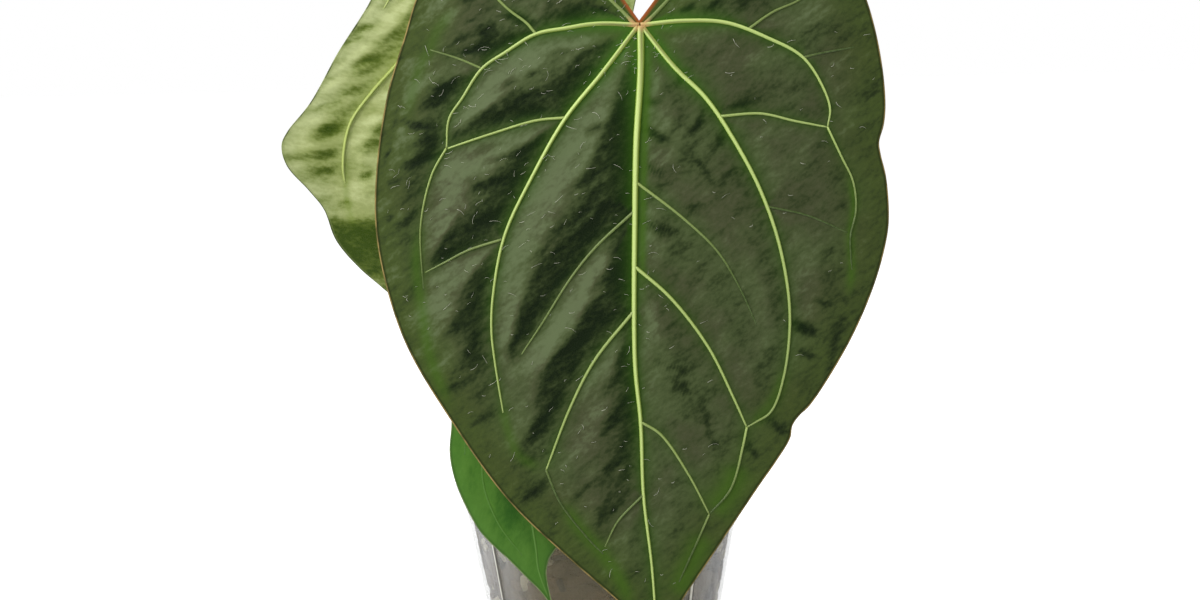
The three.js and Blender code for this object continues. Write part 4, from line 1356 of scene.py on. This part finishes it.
def makeMedium():
    heap = Heap()
    depth, top = pot["floor"] + 0.4, medium["top"]
    profile = [(0, depth), (innerRadius(depth) - medium["coreGap"], depth)]
    for height in np.linspace(depth + 4, top - 6, 14):
        profile.append((innerRadius(height) - medium["coreGap"], height))
    profile += [(30, top - 4), (medium["stemRoom"], top - 3.5), (0, top - 3.5)]
    core = meshOf(spun(profile, medium["steps"]), "core")
    place = coordinates(core)
    lumps = noiseAt(place / mm / 7.0) * medium["coreLumps"]
    outward = place / np.maximum(np.linalg.norm(place[:, :2], axis=1, keepdims=True), 1e-6)
    place[:, :2] += outward[:, :2] * (lumps * mm)[:, None]
    heap.add(core, place, kind=0.3, tint=0.8)
    chance = random.Random(medium["seed"])
    templates = [chunkTemplate(False), chunkTemplate(True)]
    shapes = [coordinates(template) for template in templates]
    for chunk in range(medium["wallChunks"] + medium["topChunks"]):
        onWall = chunk < medium["wallChunks"]
        kind = chance.random()
        size = chance.uniform(medium["smallest"], medium["largest"])
        stretch = np.array([chance.uniform(*limits) for limits in medium["stretch"]])
        if kind > medium["pumiceFrom"]:
            size, stretch = size * 0.8, stretch * 0.4 + 0.6
        turn = Matrix.Rotation(chance.uniform(0, 6.3), 3, "Z")
        turn = turn @ Matrix.Rotation(chance.uniform(-1.6, 1.6), 3, "X")
        turn = turn @ Matrix.Rotation(chance.uniform(0, 6.3), 3, "Y")
        angle = chance.uniform(0, 2 * math.pi)
        if onWall:
            height = chance.uniform(depth + 2, top)
            reach = innerRadius(height) - chance.uniform(0.2, 0.8) * size - medium["wallGap"]
        else:
            height = top - chance.uniform(0.2, 1.0) * size * 0.6
            spread = (innerRadius(top) - medium["rimRoom"]) ** 2 - medium["stemRoom"] ** 2
            reach = math.sqrt(medium["stemRoom"] ** 2 + chance.random() * spread)
        whichShape = 1 if kind > medium["mossFrom"] or chance.random() < 0.3 else 0
        shape = shapes[whichShape] * stretch * size
        rough = noiseAt(shapes[whichShape] * 1.3 + chunk * 3.7)
        shape = shape * (1 + 0.35 * rough)[:, None] @ np.array(turn).T
        shape = shape + [reach * math.cos(angle), reach * math.sin(angle), height]
        shape[:, 2] = np.maximum(shape[:, 2], depth + 0.2)
        radius = np.linalg.norm(shape[:, :2], axis=1)
        limit = innerRadius(shape[:, 2]) - medium["wallGap"]
        shape[:, :2] *= np.minimum(1, limit / radius)[:, None]
        heap.add(templates[whichShape], shape * mm, kind=kind, tint=chance.random())
    return heap.finish("barkMedium", mediumMaterial())


dress(makeMedium(), "medium", "growing_medium")


# Stem with its roots and the papery sheaths beside the stalks' feet

stem = {
    "top": 113,
    "steps": 40,
    "ridges": 6,
    "firstRidge": 86,
    "ridgeStep": 3.6,
}
roots = {
    "count": 6,
    "radius": 1.9,
    "firstTurn": 0.4,
    "start": 3,
    "reach": 33,
    "shorter": 3,
    "top": 90,
    "stagger": 4,
    "drop": 66,
    "curl": 0.9,
    "steps": 60,
    "sides": 14,
}
sheath = {
    "length": 22.5,
    "thickness": 0.35,
    "radius": 3.8,
    "halfSlit": 0.95,
    "cutAway": 0.6,  # the share of its length that the slanted cut takes off
    "sunk": 6,
    "flare": 1.2,
    "turns": {"front": 100, "young": 20},
}


def stemMaterial():
    m = Nodes("stem")
    place = m.coords()
    isRoot, isSheath = m.value("root"), m.value("sheath")
    long = m.noise(m.mapped(place, (700, 700, 60)), 1.0, 4.0)
    lumps = m.noise(place, 260.0, 4.0)
    bark = m.mix(lumps, (0.16, 0.15, 0.06), (0.30, 0.25, 0.12))
    rings = m.mix(m.range(m.value("node"), 0.5, 0.9, 0.0, 0.7), bark, (0.12, 0.08, 0.045))
    skin = m.mix(lumps, (0.42, 0.36, 0.24), (0.66, 0.60, 0.46))
    papery = m.mix(long, (0.20, 0.12, 0.05), (0.46, 0.33, 0.17))
    papery = m.mix(m.value("tip"), papery, (0.16, 0.09, 0.04))
    both = m.mix(isRoot, rings, skin)
    return m.set(
        Base_Color=m.mix(isSheath, both, papery),
        Roughness=0.75,
        Normal=m.bump(m.math("ADD", long, lumps), 0.6, 0.0008),
    )


def makeStem():
    heap = Heap()
    profile = [(0, 58), (3, 58.3), (4.6, 59.5), (6.2, 62.5), (7.6, 67), (8.6, 74), (9.1, 84)]
    for ridge in range(stem["ridges"]):
        height = stem["firstRidge"] + stem["ridgeStep"] * ridge
        profile += [(8.7, height), (9.3, height + 0.9), (8.4, height + 1.8)]
    profile += [(8.6, 109), (7.6, 111.5), (6, 112.9), (3, 113.8), (0, 114)]
    core = meshOf(spun(profile, stem["steps"]), "stemCore")
    place = coordinates(core)
    lumps = noiseAt(place / mm / 5.0) * 0.7
    place[:, :2] *= (1 + lumps / 9)[:, None]
    height = place[:, 2] / mm
    cycle = (height - stem["firstRidge"] - 0.9) / stem["ridgeStep"]
    node = np.where(height > stem["firstRidge"] - 2, 0.5 + 0.5 * np.cos(cycle * 2 * np.pi), 0)
    heap.add(core, place, root=0, sheath=0, tip=0, node=node)
    addRoots(heap)
    for name, turn in sheath["turns"].items():
        addSheath(heap, stalk["routes"][name][0], turn)
    return heap.finish("stemWithRoots", stemMaterial())


def addRoots(heap):
    shares = np.linspace(0, 1, roots["steps"] + 1)
    for root in range(roots["count"]):
        odd = root % 2
        firstTurn = root / roots["count"] * 2 * math.pi + roots["firstTurn"]
        points = []
        for stop in range(5):
            share = stop / 4
            spread = (roots["reach"] - roots["shorter"] * odd) * math.sin(share * math.pi / 2)
            turn = firstTurn + roots["curl"] * share * share * (1 if odd else -1)
            height = roots["top"] - roots["stagger"] * (root % 3) - roots["drop"] * share * share
            reach = roots["start"] + spread
            points.append((reach * math.cos(turn), reach * math.sin(turn), height))
        path = alongCurve(smoothCurve(points, 30), shares)
        wander = shares * (1 - shares) * 3
        path[:, 0] += wander * noiseAt(path / 16 + root)
        path[:, 1] += wander * noiseAt(path / 16 + root + 9)
        radius = roots["radius"] * (1 + 0.18 * noiseAt(path / 4.0))
        radius = radius * (1 - 0.75 * smoothStep(0.93, 1, shares))
        template, place, _ = tubeAlong(path, radius, roots["sides"])
        heap.add(template, place * mm, root=1, sheath=0, tip=0, node=0)


def addSheath(heap, foot, turn):
    template = flatSheet("sheath", 28)
    a, b, side = coordinates(template).T
    angle = np.pi + a * (np.pi - sheath["halfSlit"])
    share = (b + 1) / 2
    # the top is cut aslant and frayed
    drop = (1 - np.cos(angle - np.pi)) / 2 * sheath["length"] * sheath["cutAway"]
    frayed = noiseAt(np.stack([a * 9, np.zeros(len(a)), np.full(len(a), turn)], 1)) * 1.6
    height = share * (sheath["length"] - drop + frayed * share)
    radius = sheath["radius"] + sheath["flare"] * share**3 + side * sheath["thickness"] / 2
    radius = radius + 0.25 * noiseAt(np.stack([a * 4, share * 3, np.full(len(a), turn)], 1))
    place = np.stack([radius * np.cos(angle), radius * np.sin(angle), height], 1)
    matrix = np.array(Matrix.Rotation(math.radians(turn), 3, "Z"))
    place = place @ matrix.T + [foot[0], foot[1], stem["top"] - sheath["sunk"]]
    heap.add(template, place * mm, root=0, sheath=1, tip=smoothStep(0.8, 1, share), node=0)


dress(makeStem(), "stem", "stem_and_roots")


# Lint that has settled on the velvet

lint = {
    "count": 460,
    "seed": 5,
    "shortest": 0.9,
    "longest": 4.2,
    "radius": 0.055,
    "rings": 6,
    "lift": 0.08,
    "arch": 0.5,
}


def lintMaterial():
    m = Nodes("lint")
    return m.set(Base_Color=(0.62, 0.62, 0.50), Roughness=0.8)


def makeLint(leaf):
    chance = random.Random(lint["seed"])
    kept = []
    while len(kept) < lint["count"]:
        spot = (chance.uniform(-0.95, 0.95), chance.uniform(-0.95, 0.9))
        crowd = 0.25 if spot[0] > 0.15 else 1.0 if spot[0] < -0.1 else 0.6
        low = 1 - 0.6 * smoothStep(-0.2, -0.9, spot[1])
        if chance.random() < crowd * low:
            kept.append(spot)
    flat, _ = spreadOut(leaf, np.array(kept))
    heap = Heap()
    shares = np.linspace(0, 1, lint["rings"] + 1)
    for spot in flat:
        long = lint["shortest"] + (lint["longest"] - lint["shortest"]) * chance.random() ** 2.2
        heading = chance.gauss(0.35, 0.7)
        bend = chance.uniform(-1.6, 1.6)
        angle = heading + bend * (shares - 0.5)
        steps = np.stack([np.cos(angle), np.sin(angle)], 1) * long / lint["rings"]
        line = spot + np.cumsum(steps, axis=0)
        height, normal = surface(leaf, line)
        lift = blade["halfThickness"] + lint["lift"]
        lift = lift + lint["arch"] * chance.random() * np.sin(shares * np.pi)
        centres = np.column_stack([line, height]) + normal * lift[:, None]
        radius = lint["radius"] * (1 - 0.5 * shares) * (0.7 + 0.6 * chance.random())
        template, place, _ = tubeAlong(centres, radius, 3)
        heap.add(template, toWorld(leaf, place))
    return heap.finish(leaf["name"] + "Lint", lintMaterial())


dress(makeLint(frontLeaf), "blade_velvet")


# Lights, floor and background

studio = {
    # place, size, power
    "lights": {
        "key": ((-0.75, -0.55, 1.05), 0.7, 14),
        "fill": ((0.9, -0.8, 0.5), 1.2, 3),
        "top": ((0.1, 0.5, 1.2), 1.0, 8),
    },
    "aim": (0, -0.05, 0.2),
    "world": 0.35,
    "floorHalf": 6,
    "floorGlow": 0.75,
}


def makeLight(name, place, size, power):
    data = bpy.data.lights.new(name, "AREA")
    data.shape = "DISK"
    data.size = size
    data.energy = power
    obj = linked(name, data)
    direction = Vector(studio["aim"]) - Vector(place)
    aimed = direction.to_track_quat("-Z", "Y").to_matrix().to_4x4()
    obj.matrix_world = Matrix.Translation(place) @ aimed


def makeWorld():
    # dim for the plant, white behind it
    world = bpy.data.worlds.new("studio")
    scene.world = world
    world.use_nodes = True
    nodes, links = world.node_tree.nodes, world.node_tree.links
    background = nodes["Background"]
    seen = nodes.new("ShaderNodeMix")
    seen.data_type = "FLOAT"
    links.new(nodes.new("ShaderNodeLightPath").outputs["Is Camera Ray"], seen.inputs[0])
    seen.inputs[2].default_value = studio["world"]
    seen.inputs[3].default_value = 1.0
    links.new(seen.outputs[0], background.inputs["Strength"])
    background.inputs["Color"].default_value = (1, 1, 1, 1)


def makeFloor():
    bm = bmesh.new()
    bmesh.ops.create_grid(bm, x_segments=1, y_segments=1, size=studio["floorHalf"])
    mesh = meshOf(bm, "floor")
    m = Nodes("floor")
    seenDirectly = m.add("ShaderNodeLightPath").outputs["Is Camera Ray"]
    m.set(
        Base_Color=(0.8, 0.8, 0.8),
        Roughness=0.8,
        Emission_Color=(1, 1, 1),
        Emission_Strength=m.math("MULTIPLY", seenDirectly, studio["floorGlow"]),
    )
    mesh.materials.append(m.material)
    linked("floor", mesh)


for name, light in studio["lights"].items():
    makeLight(name, *light)
makeWorld()
makeFloor()
scene.view_settings.view_transform = "Standard"
print("studio ready")
